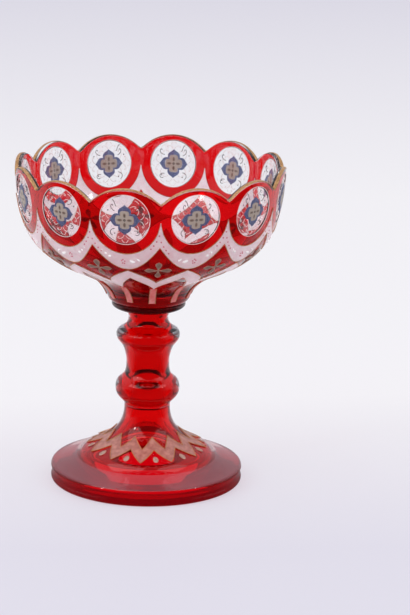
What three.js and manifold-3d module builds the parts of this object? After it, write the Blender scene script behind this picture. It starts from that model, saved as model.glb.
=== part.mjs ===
// Footed cup of ruby and clear glass: a bowl with a lobed rim and cut roundels on a collar,
// a hollow stem with two knops, and a hollow domed foot. Enamel and gilding are thin
// layers of their own that follow the glass.
// Millimetres, +Z up, origin at the centre of the resting plane, -Y through a rim cusp.
import * as THREE from "three";
import { mergeVertices } from "three/addons/utils/BufferGeometryUtils.js";
import Module from "manifold-3d";

// Stack of glass pieces along the axis
const JOINT_GAP = 0.3;
const FOOT_HEIGHT = 39.3;
const STEM_HEIGHT = 50.5;
const COLLAR_HEIGHT = 4.5;
const BOWL_HEIGHT = 72.0;

// Foot
const FOOT_RADIUS = 49.2;
const FOOT_EDGE_HEIGHT = 9.0;
const FOOT_EDGE_ROUND = 2.0;
const FOOT_GROOVE_DEPTH = 0.5;
const FLANGE_RISE = 3.6;
const DOME_RADIUS = 33.7;
const DOME_STEP = 2.2;
const FOOT_NECK_RADIUS = 11.7;
const FOOT_WALL = 4.6;
const FOOT_RING_WIDTH = 17.5;

// How the flare leaves the dome's edge and arrives at the neck, as shares of its spread and climb
const FLARE_CURVE = { leaveIn: 0.15, leaveUp: 0.196, arriveUp: 0.26 };

// Stem
const LOWER_KNOP_RADIUS = 16.5;
const LOWER_KNOP_HEIGHT = 9.4;
const WAIST_RADIUS = 11.05;
const WAIST_HEIGHT = 21.4;
const UPPER_KNOP_RADIUS = 16.3;
const UPPER_KNOP_HEIGHT = 37.3;
const STEM_NECK_RADIUS = 10.2;
const STEM_NECK_HEIGHT = 46.4;
const STEM_TOP_RADIUS = 10.9;
const STEM_WALL = 4.3;
const KNOP_BORE_SWELL = 2.4;

// Shares of each climb over which the stem's outline stays upright as it leaves and arrives
const LOWER_KNOP_EASE = [0.36, 0.59];
const WAIST_EASE = [0.56, 0.69];
const UPPER_KNOP_EASE = [0.79, 0.26];
const STEM_NECK_EASE = [0.52, 0.65];
const STEM_TOP_EASE = [0.4, 0.4];

// Collar between stem and bowl
const COLLAR_RADIUS = 18.9;
const COLLAR_EDGE_HEIGHT = 2.8;
const COLLAR_BEVEL = 0.6;

// Bowl
const BOWL_SEAT_RADIUS = 18.0;
const BOWL_THROAT_RADIUS = 21.2;
const BOWL_THROAT_HEIGHT = 2.8;
const BOWL_RIM_RADIUS = 68.2;
const BOWL_WALL = 3.2;
const BOWL_FLOOR = 6.0;
const BOWL_FLOOR_ROUND = 5.0;
const BOWL_FLOOR_FLATNESS = 0.85;
const SEAT_ROUND = 0.8;
const RIM_ROUND = 0.8;

// How the bowl's wall leaves the throat and arrives at the rim, as shares of its spread and climb
const WALL_CURVE = { leaveOut: 0.178, leaveUp: 0.345, arriveOut: 0.013, arriveUp: 0.088 };

// Rim lobes and the roundels cut below them
const LOBES = 12;
const LOBE_DEPTH = 8.2;
const CUSP_ROUND = 0.7;
const ROUNDEL_RADIUS = 12.6;
const ROUNDEL_DROP = 15.3;
const ROUNDEL_CUT = 0.5;
const RUBY_RING_WIDTH = 5.1;

// Fired layers of enamel and gilding
const LAYER_GAP = 0.4;
const ENAMEL = 0.5;
const GILDING_LIP = 0.5;

// Satin swags, the zigzag below them and its stalks, as drops below the roundels' centre
const SWAG_TIP_DROP = 26.7;
const SWAG_RISE = 12.6;
const ZIGZAG_PEAK_DROP = 28.1;
const ZIGZAG_DEPTH = 9.0;
const ZIGZAG_PEAK_WIDTH = 5.2;
const ZIGZAG_VALLEY_WIDTH = 6.6;
const STALK_WIDTH = 3.2;
const STALK_FOOT_HEIGHT = 3.2;

// Quatrefoils in the roundels, flowers between the swags
const QUATREFOIL_REACH = 7.7;
const QUATREFOIL_BORDER = 3.0;
const FLOWER_REACH = 6.7;
const FLOWER_DROP = 27.2;
const PETAL_GAP = 0.4;

// Petal outline as shares of the flower's reach: the notch between petals and the curve's handles
const POINTED_PETAL = { notch: 0.475, swell: [0.54, 0.85], shoulder: [0.13, 0.81] };
const ROUND_PETAL = { notch: 0.475, swell: [0.62, 0.95], shoulder: [0.3, 1.0] };
const LEAF_PETAL = { notch: 0.06, swell: [0.06, 0.55], shoulder: [0.62, 0.62] };

// Zigzag on the foot
const FOOT_ZIGZAG_TOP = 26.6;
const FOOT_ZIGZAG_DEPTH = 4.9;
const FOOT_ZIGZAG_PEAK_WIDTH = 4.9;
const FOOT_ZIGZAG_VALLEY_WIDTH = 4.3;
const FOOT_ZIGZAG_TURN = -Math.PI / 18;

// Fineness of the round forms
const BOWL_SEGMENTS = LOBES * 6;
const SWAG_SEGMENTS = LOBES * 8;
const FOOT_SEGMENTS = LOBES * 4;
const STEM_SEGMENTS = LOBES * 2;
const ROUNDEL_SEGMENTS = 16;
const BAND_SEGMENTS = LOBES * 3;
const SKIN_STEPS = 24;
const WALL_ROWS = 8;
const INNER_ROWS = 5;
const OUTLINE_STEPS = 2;
const LEAF_STEPS = 3;
const KNOP_STEPS = 4;
const FLARE_STEPS = 7;
const FLARE_BORE_STEPS = 4;
const LEAST_ROW = 1;
const MERGE_DISTANCE = 1e-4;
const CUTTER_OVERRUN = 2;

// Heights worked out from the stack
const STEM_BASE = FOOT_HEIGHT + JOINT_GAP;
const COLLAR_BASE = STEM_BASE + STEM_HEIGHT + JOINT_GAP;
const BOWL_BASE = COLLAR_BASE + COLLAR_HEIGHT + JOINT_GAP;
const RIM_TOP = BOWL_BASE + BOWL_HEIGHT;
const ROUNDEL_HEIGHT = RIM_TOP - ROUNDEL_DROP;
const LOBE_ANGLE = (2 * Math.PI) / LOBES;

// Colour and surface of each finish
const FINISHES = {
  ruby: { color: 0xa8101c, roughness: 0.05, metalness: 0 },
  satin: { color: 0xe6c4c4, roughness: 0.55, metalness: 0 },
  cobalt: { color: 0x3d4c80, roughness: 0.4, metalness: 0 },
  gold: { color: 0xb08d4f, roughness: 0.35, metalness: 0.9 },
  petal: { color: 0x9c8a72, roughness: 0.45, metalness: 0.3 },
};

const wasm = await Module();
wasm.setup();

const cup = new THREE.Group();

function addPiece(name, geometry, finish) {
  const mesh = new THREE.Mesh(geometry, new THREE.MeshStandardMaterial(FINISHES[finish]));
  mesh.name = name;
  cup.add(mesh);
  return mesh;
}

// One copy in each lobe, turned about the axis
function addInEachLobe(name, geometry, finish) {
  for (let lobe = 0; lobe < LOBES; lobe += 1) {
    const number = String(lobe + 1).padStart(2, "0");
    addPiece(`${name}_${number}`, geometry, finish).rotation.z = lobe * LOBE_ANGLE;
  }
}

// Closed mesh to solid and back, for the cuts and joins
function toSolid(geometry) {
  const bare = geometry.clone();
  bare.deleteAttribute("normal");
  bare.deleteAttribute("uv");
  const merged = mergeVertices(bare, MERGE_DISTANCE);
  const corners = merged.index.array;
  const triVerts = [];
  for (let i = 0; i < corners.length; i += 3) {
    const [a, b, c] = [corners[i], corners[i + 1], corners[i + 2]];
    if (a !== b && b !== c && c !== a) triVerts.push(a, b, c);
  }
  const vertProperties = new Float32Array(merged.attributes.position.array);
  const mesh = new wasm.Mesh({ numProp: 3, vertProperties, triVerts: new Uint32Array(triVerts) });
  return new wasm.Manifold(mesh);
}

function toGeometry(solid) {
  const { vertProperties, triVerts } = solid.getMesh();
  const geometry = new THREE.BufferGeometry();
  geometry.setAttribute("position", new THREE.BufferAttribute(vertProperties, 3));
  geometry.setIndex(new THREE.BufferAttribute(triVerts, 1));
  geometry.computeVertexNormals();
  return geometry;
}

// A profile is a list of Vector2 (radius, height) that climbs from low to high
function radiusAt(profile, height) {
  let i = 1;
  while (i < profile.length - 1 && profile[i].y < height) i += 1;
  const low = profile[i - 1];
  const high = profile[i];
  return low.x + ((height - low.y) / (high.y - low.y)) * (high.x - low.x);
}

// The same profile moved outwards, square to itself
function offsetProfile(profile, distance) {
  return profile.map((point, i) => {
    const before = profile[Math.max(i - 1, 0)];
    const after = profile[Math.min(i + 1, profile.length - 1)];
    const along = after.clone().sub(before).normalize();
    return new THREE.Vector2(point.x + along.y * distance, point.y - along.x * distance);
  });
}

// Revolves a section about +Z. Angle 0 is towards -Y and grows towards +X. place(corner, angle),
// if given, moves each corner of the section to a (radius, height) of its own at that angle.
function revolve(section, segments, place) {
  const geometry = new THREE.LatheGeometry(section, segments);
  const position = geometry.attributes.position;
  for (let i = 0; i < position.count; i += 1) {
    const corner = i % section.length;
    const turn = Math.floor(i / section.length) % segments;
    const angle = (turn / segments) * 2 * Math.PI;
    const spot = place ? place(corner, angle) : section[corner];
    position.setXYZ(i, spot.x * Math.sin(angle), -spot.x * Math.cos(angle), spot.y);
  }
  geometry.computeVertexNormals();
  return geometry;
}

// 0 in the middle of a lobe, 1 at the cusp between two lobes
function towardsCusp(angle) {
  const lobes = angle / LOBE_ANGLE;
  return 2 * Math.abs(lobes - Math.floor(lobes) - 0.5);
}

// Curve from the pen to a neck or swelling, upright at both ends; leave and arrive are the
// shares of the climb over which it stays upright
function climbTo(path, radius, height, leave, arrive) {
  const from = path.currentPoint.clone();
  const climb = height - from.y;
  path.bezierCurveTo(from.x, from.y + leave * climb, radius, height - arrive * climb, radius, height);
}

// Bowl wall from the seat through the throat to the rim
function bowlProfile(steps) {
  const path = new THREE.Path();
  const throat = BOWL_BASE + BOWL_THROAT_HEIGHT;
  const climb = RIM_TOP - throat;
  const spread = BOWL_RIM_RADIUS - BOWL_THROAT_RADIUS;
  path.moveTo(BOWL_SEAT_RADIUS, BOWL_BASE);
  path.quadraticCurveTo(BOWL_THROAT_RADIUS - SEAT_ROUND, BOWL_BASE, BOWL_THROAT_RADIUS, throat);
  const seat = path.getPoints(OUTLINE_STEPS);
  const { leaveOut, leaveUp, arriveOut, arriveUp } = WALL_CURVE;
  const wall = new THREE.CubicBezierCurve(
    new THREE.Vector2(BOWL_THROAT_RADIUS, throat),
    new THREE.Vector2(BOWL_THROAT_RADIUS + leaveOut * spread, throat + leaveUp * climb),
    new THREE.Vector2(BOWL_RIM_RADIUS + arriveOut * spread, throat + arriveUp * climb),
    new THREE.Vector2(BOWL_RIM_RADIUS, RIM_TOP),
  );
  return [...seat, ...wall.getPoints(steps).slice(1)];
}
const BOWL_SKIN = bowlProfile(SKIN_STEPS);

// Height of the rim: an arc over each lobe, with the cusps between them rounded
function rimHeight(angle) {
  const halfPitch = (BOWL_RIM_RADIUS * LOBE_ANGLE) / 2;
  const arc = (halfPitch ** 2 + LOBE_DEPTH ** 2) / (2 * LOBE_DEPTH);
  const across = halfPitch * towardsCusp(angle);
  const slope = halfPitch / (arc - LOBE_DEPTH);
  const toCusp = halfPitch - across;
  const fillet = slope * (Math.hypot(toCusp, CUSP_ROUND / slope) - toCusp);
  return RIM_TOP - arc + Math.sqrt(arc ** 2 - across ** 2) + fillet;
}

// Squeezes the wall above the roundels' centre so that its top edge follows the lobes
function underRim(height, angle) {
  if (height <= ROUNDEL_HEIGHT) return height;
  const share = (height - ROUNDEL_HEIGHT) / (RIM_TOP - ROUNDEL_HEIGHT);
  return ROUNDEL_HEIGHT + share * (rimHeight(angle) - ROUNDEL_HEIGHT);
}

// Bowl glass before the roundels are cut. Each corner of the section keeps to its own skin:
// the outer wall, the inner wall, or one between them on the rim.
function bowlBlank() {
  const inner = offsetProfile(BOWL_SKIN, -BOWL_WALL);
  const floor = BOWL_BASE + BOWL_FLOOR;
  const floorEdge = floor + BOWL_FLOOR_ROUND;
  const rows = bowlProfile(WALL_ROWS);
  const corners = [{ height: BOWL_BASE }];
  for (const point of rows.slice(0, -1)) corners.push({ height: point.y, skin: BOWL_SKIN });
  corners.push({ height: RIM_TOP - RIM_ROUND, skin: BOWL_SKIN });
  corners.push({ height: RIM_TOP, skin: offsetProfile(BOWL_SKIN, -RIM_ROUND) });
  corners.push({ height: RIM_TOP, skin: offsetProfile(BOWL_SKIN, RIM_ROUND - BOWL_WALL) });
  corners.push({ height: RIM_TOP - RIM_ROUND, skin: inner });
  for (const point of offsetProfile(bowlProfile(INNER_ROWS), -BOWL_WALL).reverse().slice(1)) {
    if (point.y > floorEdge + LEAST_ROW) corners.push({ height: point.y, skin: inner });
  }
  const edgeRadius = radiusAt(inner, floorEdge);
  const dish = new THREE.QuadraticBezierCurve(
    new THREE.Vector2(edgeRadius, floorEdge),
    new THREE.Vector2(BOWL_FLOOR_FLATNESS * edgeRadius, floor),
    new THREE.Vector2(0, floor),
  );
  for (const point of dish.getPoints(OUTLINE_STEPS)) corners.push({ height: point.y, radius: point.x });
  const section = corners.map(({ height, skin, radius = 0 }) => {
    return new THREE.Vector2(skin ? radiusAt(skin, height) : radius, height);
  });
  return revolve(section, BOWL_SEGMENTS, (corner, angle) => {
    const { height, skin } = corners[corner];
    if (!skin) return section[corner];
    const moved = underRim(height, angle);
    return new THREE.Vector2(radiusAt(skin, moved), moved);
  });
}

// Ring that hugs a skin between two edges, whose heights vary with the angle
function ringOnSkin(skin, segments, rows, lowEdge, highEdge) {
  const inside = offsetProfile(skin, LAYER_GAP);
  const outside = offsetProfile(skin, LAYER_GAP + ENAMEL);
  const corners = [];
  for (let row = 0; row <= rows; row += 1) corners.push({ share: row / rows, face: outside });
  for (let row = rows; row >= 0; row -= 1) corners.push({ share: row / rows, face: inside });
  corners.push(corners[0]);
  const place = (corner, angle) => {
    const { share, face } = corners[corner];
    const height = lowEdge(angle) + share * (highEdge(angle) - lowEdge(angle));
    return new THREE.Vector2(radiusAt(face, height), height);
  };
  const section = corners.map((_, corner) => place(corner, 0));
  return revolve(section, segments, place);
}

// Thin shell of enamel all round the bowl between two heights
function enamelShell(low, high) {
  const rows = bowlProfile(WALL_ROWS);
  const between = rows.filter(({ y }) => y > low + LEAST_ROW && y < high - LEAST_ROW);
  const heights = [low, ...between.map(({ y }) => y), high];
  const near = offsetProfile(BOWL_SKIN, LAYER_GAP);
  const far = offsetProfile(BOWL_SKIN, LAYER_GAP + ENAMEL);
  const section = heights.map((y) => new THREE.Vector2(radiusAt(far, y), y));
  for (const y of heights.toReversed()) section.push(new THREE.Vector2(radiusAt(near, y), y));
  section.push(section[0].clone());
  return toSolid(revolve(section, BAND_SEGMENTS));
}

// Flat outline made into a layer that is wrapped on the bowl wall at a height and an angle;
// off is the distance from the wall to the layer, and steps is how finely its curves are cut
function wrapOnBowl(shape, height, angle, off, steps) {
  const options = { depth: ENAMEL, bevelEnabled: false, curveSegments: steps };
  const geometry = new THREE.ExtrudeGeometry(shape, options);
  const wallRadius = radiusAt(BOWL_SKIN, height);
  const slope = radiusAt(BOWL_SKIN, height + 0.5) - radiusAt(BOWL_SKIN, height - 0.5);
  const climb = 1 / Math.hypot(1, slope);
  const faces = [offsetProfile(BOWL_SKIN, off), offsetProfile(BOWL_SKIN, off + ENAMEL)];
  const position = geometry.attributes.position;
  for (let i = 0; i < position.count; i += 1) {
    const level = height + position.getY(i) * climb;
    const radius = radiusAt(faces[position.getZ(i) > 0 ? 1 : 0], level);
    const around = angle + position.getX(i) / wallRadius;
    position.setXYZ(i, radius * Math.sin(around), -radius * Math.cos(around), level);
  }
  geometry.computeVertexNormals();
  return geometry;
}

// Roundels cut into the outer wall to an even depth
function bowl() {
  const length = 2 * ROUNDEL_RADIUS;
  const disc = new THREE.CylinderGeometry(ROUNDEL_RADIUS, ROUNDEL_RADIUS, length, ROUNDEL_SEGMENTS);
  const atWall = disc.translate(0, -BOWL_RIM_RADIUS, ROUNDEL_HEIGHT);
  const cutters = [];
  for (let lobe = 0; lobe < LOBES; lobe += 1) {
    cutters.push(toSolid(atWall.clone().rotateZ((lobe + 0.5) * LOBE_ANGLE)));
  }
  const cutSkin = offsetProfile(BOWL_SKIN, -ROUNDEL_CUT);
  const floor = bowlProfile(WALL_ROWS).map(({ y }) => new THREE.Vector2(radiusAt(cutSkin, y), y));
  const core = [new THREE.Vector2(0, BOWL_BASE), ...floor, new THREE.Vector2(0, RIM_TOP)];
  const discs = wasm.Manifold.union(cutters).subtract(toSolid(revolve(core, BOWL_SEGMENTS)));
  return toGeometry(toSolid(bowlBlank()).subtract(discs));
}

// Gilding over the top of the rim, with a lip down its outer side
function rimGilding() {
  const outer = LAYER_GAP + ENAMEL;
  const corners = [
    [outer, -GILDING_LIP],
    [outer, outer],
    [-BOWL_WALL, outer],
    [-BOWL_WALL, LAYER_GAP],
    [LAYER_GAP, LAYER_GAP],
    [LAYER_GAP, -GILDING_LIP],
    [outer, -GILDING_LIP],
  ].map(([distance, rise]) => ({ skin: offsetProfile(BOWL_SKIN, distance), rise }));
  const place = (corner, angle) => {
    const { skin, rise } = corners[corner];
    const height = rimHeight(angle) + rise;
    return new THREE.Vector2(radiusAt(skin, height), height);
  };
  return revolve(corners.map((_, corner) => place(corner, 0)), BOWL_SEGMENTS, place);
}

// Satin band: follows the ruby rings above, hangs in a swag below each roundel
function swagBand() {
  const ring = ROUNDEL_RADIUS + RUBY_RING_WIDTH;
  const halfPitch = (BOWL_RIM_RADIUS * LOBE_ANGLE) / 2;
  const cuspDrop = Math.sqrt(Math.max(ring ** 2 - halfPitch ** 2, 0));
  const highEdge = (angle) => {
    const across = halfPitch * towardsCusp(angle);
    return ROUNDEL_HEIGHT - Math.max(Math.sqrt(Math.max(ring ** 2 - across ** 2, 0)), cuspDrop);
  };
  const lowEdge = (angle) => ROUNDEL_HEIGHT - SWAG_TIP_DROP + SWAG_RISE * towardsCusp(angle) ** 2;
  return ringOnSkin(BOWL_SKIN, SWAG_SEGMENTS, 2, lowEdge, highEdge);
}

// Star-shaped outline seen from above, through two radii in turn
function starPath(path, peakRadius, valleyRadius) {
  for (let i = 0; i <= 2 * LOBES; i += 1) {
    const radius = i % 2 === 0 ? valleyRadius : peakRadius;
    const angle = (i * LOBE_ANGLE) / 2;
    const spot = [radius * Math.sin(angle), -radius * Math.cos(angle)];
    if (i === 0) path.moveTo(...spot);
    else path.lineTo(...spot);
  }
  return path;
}

// Zigzag band under the flowers, with a stalk down from each valley
function zigzagBand() {
  const peak = ROUNDEL_HEIGHT - ZIGZAG_PEAK_DROP;
  const valley = peak - ZIGZAG_DEPTH;
  const radius = (height) => radiusAt(BOWL_SKIN, height);
  const star = starPath(new THREE.Shape(), radius(peak), radius(valley));
  const valleyInside = radius(valley - ZIGZAG_VALLEY_WIDTH);
  star.holes.push(starPath(new THREE.Path(), radius(peak - ZIGZAG_PEAK_WIDTH), valleyInside));
  const low = BOWL_BASE + STALK_FOOT_HEIGHT;
  const top = peak + CUTTER_OVERRUN;
  const tall = { depth: top + CUTTER_OVERRUN - low, bevelEnabled: false };
  const zigzag = toSolid(new THREE.ExtrudeGeometry(star, tall).translate(0, 0, low));
  const stalkLength = radius(valley - ZIGZAG_VALLEY_WIDTH / 2) - radius(low) / 2;
  const stalk = new THREE.BoxGeometry(STALK_WIDTH, stalkLength, tall.depth);
  stalk.translate(0, -(radius(low) + stalkLength) / 2, low + tall.depth / 2);
  const stalks = [];
  for (let lobe = 0; lobe < LOBES; lobe += 1) {
    stalks.push(toSolid(stalk.clone().rotateZ(lobe * LOBE_ANGLE)));
  }
  const shell = enamelShell(low, top);
  return toGeometry(wasm.Manifold.union([zigzag, ...stalks]).intersect(shell));
}

// Cross of four petals of one form, joined at its middle
function petalCross(path, reach, form) {
  const notch = form.notch * reach;
  const [swellX, swellY] = form.swell.map((share) => share * reach);
  const [shoulderX, shoulderY] = form.shoulder.map((share) => share * reach);
  path.moveTo(notch, notch);
  for (let petal = 0; petal < 4; petal += 1) {
    const turn = (petal * Math.PI) / 2;
    const at = (x, y) => {
      return [x * Math.cos(turn) - y * Math.sin(turn), x * Math.sin(turn) + y * Math.cos(turn)];
    };
    path.bezierCurveTo(...at(swellX, swellY), ...at(shoulderX, shoulderY), ...at(0, reach));
    path.bezierCurveTo(...at(-shoulderX, shoulderY), ...at(-swellX, swellY), ...at(-notch, notch));
  }
  return path;
}

// Quatrefoil in a roundel: a pointed border with a four-petalled flower inside it
function quatrefoilPieces() {
  const eye = QUATREFOIL_REACH - QUATREFOIL_BORDER;
  const border = petalCross(new THREE.Shape(), QUATREFOIL_REACH, POINTED_PETAL);
  border.holes.push(petalCross(new THREE.Path(), eye, ROUND_PETAL));
  const flower = petalCross(new THREE.Shape(), eye - PETAL_GAP, ROUND_PETAL);
  const off = LAYER_GAP - ROUNDEL_CUT;
  return [border, flower].map((shape) => {
    return wrapOnBowl(shape, ROUNDEL_HEIGHT, LOBE_ANGLE / 2, off, OUTLINE_STEPS);
  });
}

// Flower of four slender leaves in the ruby diamond between two swags
function diamondFlower() {
  const shape = petalCross(new THREE.Shape(), FLOWER_REACH, LEAF_PETAL);
  return wrapOnBowl(shape, ROUNDEL_HEIGHT - FLOWER_DROP, 0, LAYER_GAP, LEAF_STEPS);
}

// Collar: a solid wafer, tapered below, with a rounded edge
function collar() {
  const path = new THREE.Path();
  const edge = COLLAR_BASE + COLLAR_EDGE_HEIGHT;
  const top = COLLAR_BASE + COLLAR_HEIGHT;
  path.moveTo(0, COLLAR_BASE);
  path.lineTo(STEM_TOP_RADIUS, COLLAR_BASE);
  path.quadraticCurveTo(COLLAR_RADIUS - COLLAR_BEVEL, COLLAR_BASE + COLLAR_BEVEL, COLLAR_RADIUS, edge);
  path.quadraticCurveTo(COLLAR_RADIUS, top, COLLAR_RADIUS - COLLAR_BEVEL, top);
  path.lineTo(0, top);
  return revolve(path.getPoints(OUTLINE_STEPS), STEM_SEGMENTS);
}

// Outline of the stem, or of its bore when the wall is taken off
function stemOutline(wall) {
  const path = new THREE.Path();
  const isBore = wall > 0;
  const waistBore = WAIST_RADIUS - wall;
  const lowerKnop = isBore ? waistBore + KNOP_BORE_SWELL : LOWER_KNOP_RADIUS;
  const upperKnop = isBore ? waistBore + KNOP_BORE_SWELL : UPPER_KNOP_RADIUS;
  path.moveTo(FOOT_NECK_RADIUS - wall, STEM_BASE);
  climbTo(path, lowerKnop, STEM_BASE + LOWER_KNOP_HEIGHT, ...LOWER_KNOP_EASE);
  climbTo(path, waistBore, STEM_BASE + WAIST_HEIGHT, ...WAIST_EASE);
  climbTo(path, upperKnop, STEM_BASE + UPPER_KNOP_HEIGHT, ...UPPER_KNOP_EASE);
  climbTo(path, STEM_NECK_RADIUS - wall, STEM_BASE + STEM_NECK_HEIGHT, ...STEM_NECK_EASE);
  climbTo(path, STEM_TOP_RADIUS - wall, STEM_BASE + STEM_HEIGHT, ...STEM_TOP_EASE);
  return path;
}

// Stem: two knops outside, a bore that swells with them inside, open at both ends
function stem() {
  const outside = stemOutline(0).getPoints(KNOP_STEPS);
  const inside = stemOutline(STEM_WALL).getPoints(OUTLINE_STEPS).reverse();
  return revolve([...outside, ...inside, outside[0].clone()], STEM_SEGMENTS);
}

// Concave flare of the foot, from the edge of the dome up to the stem
function flareProfile(steps) {
  const edge = FOOT_EDGE_HEIGHT + FLANGE_RISE + DOME_STEP;
  const climb = FOOT_HEIGHT - edge;
  const spread = DOME_RADIUS - FOOT_NECK_RADIUS;
  const curve = new THREE.CubicBezierCurve(
    new THREE.Vector2(DOME_RADIUS, edge),
    new THREE.Vector2(DOME_RADIUS - FLARE_CURVE.leaveIn * spread, edge + FLARE_CURVE.leaveUp * climb),
    new THREE.Vector2(FOOT_NECK_RADIUS, edge + FLARE_CURVE.arriveUp * climb),
    new THREE.Vector2(FOOT_NECK_RADIUS, FOOT_HEIGHT),
  );
  return curve.getPoints(steps);
}
const FLARE_SKIN = flareProfile(FLARE_STEPS);

// Foot: flat resting ring, thick grooved edge, gently rising flange, step and hollow dome
function foot() {
  const path = new THREE.Path();
  const round = FOOT_EDGE_ROUND;
  const flangeTop = FOOT_EDGE_HEIGHT + FLANGE_RISE;
  path.moveTo(FOOT_RADIUS - FOOT_RING_WIDTH, 0);
  path.lineTo(FOOT_RADIUS - round, 0);
  path.quadraticCurveTo(FOOT_RADIUS, 0, FOOT_RADIUS, round);
  const groove = FOOT_RADIUS - 2 * FOOT_GROOVE_DEPTH;
  path.quadraticCurveTo(groove, FOOT_EDGE_HEIGHT / 2, FOOT_RADIUS, FOOT_EDGE_HEIGHT - round);
  path.quadraticCurveTo(FOOT_RADIUS, FOOT_EDGE_HEIGHT, FOOT_RADIUS - round, FOOT_EDGE_HEIGHT);
  path.lineTo(DOME_RADIUS + DOME_STEP, flangeTop);
  const outside = path.getPoints(OUTLINE_STEPS);
  const bore = offsetProfile(flareProfile(FLARE_BORE_STEPS), -FOOT_WALL).reverse();
  bore[0].set(FOOT_NECK_RADIUS - STEM_WALL, FOOT_HEIGHT);
  return revolve([...outside, ...FLARE_SKIN, ...bore, outside[0].clone()], FOOT_SEGMENTS);
}

// Enamel zigzag round the flare of the foot
function footBand() {
  const peak = FOOT_ZIGZAG_TOP;
  const valley = peak - FOOT_ZIGZAG_DEPTH;
  const between = (angle, atPeak, atValley) => atPeak + (atValley - atPeak) * towardsCusp(angle);
  const highEdge = (angle) => between(angle, peak, valley);
  const lowEdge = (angle) => {
    return between(angle, peak - FOOT_ZIGZAG_PEAK_WIDTH, valley - FOOT_ZIGZAG_VALLEY_WIDTH);
  };
  return ringOnSkin(FLARE_SKIN, FOOT_SEGMENTS, 2, lowEdge, highEdge);
}

addPiece("foot", foot(), "ruby");
addPiece("stem", stem(), "ruby");
addPiece("collar", collar(), "ruby");
addPiece("bowl", bowl(), "ruby");
addPiece("rim_gilding", rimGilding(), "gold");
addPiece("swag_band", swagBand(), "satin");
addPiece("zigzag_band", zigzagBand(), "satin");
addPiece("foot_band", footBand(), "satin").rotation.z = FOOT_ZIGZAG_TURN;
const [border, flower] = quatrefoilPieces();
addInEachLobe("quatrefoil", border, "cobalt");
addInEachLobe("quatrefoil_flower", flower, "petal");
addInEachLobe("diamond_flower", diamondFlower(), "petal");

export default cup;
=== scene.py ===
"""Footed cup of ruby and clear glass, enamelled and gilded, on a pale floor.

Sizes are millimetres, +Z up, with the origin at the centre of the foot's resting ring. An azimuth of 0
points to a cusp of the rim at -Y and grows towards +X. Meshes are made in metres.
"""
import logging
import math
from bisect import bisect_left
from collections.abc import Callable, Sequence
from dataclasses import dataclass, field
from enum import Enum

import bmesh
import bpy
from bmesh.types import BMEdge, BMesh, BMFace, BMVert
from mathutils import Matrix, Vector


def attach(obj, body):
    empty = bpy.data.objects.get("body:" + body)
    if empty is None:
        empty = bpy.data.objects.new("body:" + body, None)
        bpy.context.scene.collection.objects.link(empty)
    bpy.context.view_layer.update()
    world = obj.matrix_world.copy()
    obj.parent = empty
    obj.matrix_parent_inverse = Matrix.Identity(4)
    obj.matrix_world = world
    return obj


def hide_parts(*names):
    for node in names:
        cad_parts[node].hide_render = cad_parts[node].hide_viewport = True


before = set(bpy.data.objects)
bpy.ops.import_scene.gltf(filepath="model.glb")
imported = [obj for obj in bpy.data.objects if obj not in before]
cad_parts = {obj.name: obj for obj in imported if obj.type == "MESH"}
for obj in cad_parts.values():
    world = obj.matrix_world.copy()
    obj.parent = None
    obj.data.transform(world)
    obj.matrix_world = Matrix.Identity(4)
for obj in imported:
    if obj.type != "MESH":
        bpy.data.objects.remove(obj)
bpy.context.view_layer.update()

LOG = logging.getLogger("footed_cup")

MM = 0.001
LOBES = 12
LOBE_ANGLE = 2 * math.pi / LOBES
BODY = "root"
FLAT = "flat"
# Corners nearer to each other than this become one, in metres: in a mesh, and where two lobes meet.
WELD = 1e-6
SEAM = 1e-5
# Width in millimetres of the loop that closes a flower's middle.
DOT = 0.3
# Steps round the axis of what follows the lobes.
AROUND = 24 * LOBES
# Angles in degrees above which an edge stays sharp: on broad pieces and on thin lines.
BROAD_CREASE = 38.0
LINE_CREASE = 80.0

Point = tuple[float, float]
Colour = tuple[float, float, float]
Placer = Callable[[float], Vector]
Edge = Callable[[float], float]


class Slot(Enum):
    """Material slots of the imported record."""

    RUBY = "ruby_glass"
    CLEAR = "clear_glass"
    SATIN = "satin_enamel"
    COBALT = "cobalt_enamel"
    PETAL = "petal_enamel"
    GILDING = "gilding"


class PetalForm(Enum):
    """A petal's outline, as shares of the reach: the notch, and the curve's swell and shoulder."""

    POINTED = (0.41, (0.50, 0.80), (0.16, 0.80))
    ROUND = (0.475, (0.62, 0.95), (0.3, 1.0))
    LEAF = (0.05, (0.02, 0.50), (0.52, 0.66))


class Side(Enum):
    """Numbers of the bowl's faces, which are the places of its materials."""

    STAINED = 0
    INNER = 1
    WINDOW = 2


def bezier(points: Sequence[Point], steps: int) -> list[Point]:
    """Points along a Bezier curve of any degree.

    Args:
        points: The curve's two ends, with its handles between them.
        steps: How many steps the curve is cut into.

    Returns:
        The points, both ends included.
    """
    found = []
    for step in range(steps + 1):
        share = step / steps
        level = [Vector(point) for point in points]
        while len(level) > 1:
            level = [low.lerp(high, share) for low, high in zip(level, level[1:])]
        found.append((level[0].x, level[0].y))
    return found


def climb(start: Point, end: Point, ease: Point, steps: int) -> list[Point]:
    """Outline from one height to the next, upright at both ends.

    Args:
        start: Radius and height where it starts.
        end: Radius and height where it ends.
        ease: Shares of the climb over which it stays upright as it leaves and arrives.
        steps: How many steps the curve is cut into.

    Returns:
        The points after the first.
    """
    rise = end[1] - start[1]
    leaving = (start[0], start[1] + ease[0] * rise)
    arriving = (end[0], end[1] - ease[1] * rise)
    return bezier([start, leaving, arriving, end], steps)[1:]


def towards_cusp(azimuth: float) -> float:
    """0 in the middle of a lobe and 1 at the cusp between two lobes."""
    lobes = azimuth / LOBE_ANGLE
    return 2 * abs(lobes - math.floor(lobes) - 0.5)


def around(azimuth: float, radius: float, height: float) -> Vector:
    """Place in metres of a point given by its azimuth, radius and height in millimetres."""
    return Vector((radius * math.sin(azimuth), -radius * math.cos(azimuth), height)) * MM


def azimuth_of(place: Vector) -> float:
    """Azimuth of a place."""
    return math.atan2(place.x, -place.y)


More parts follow.
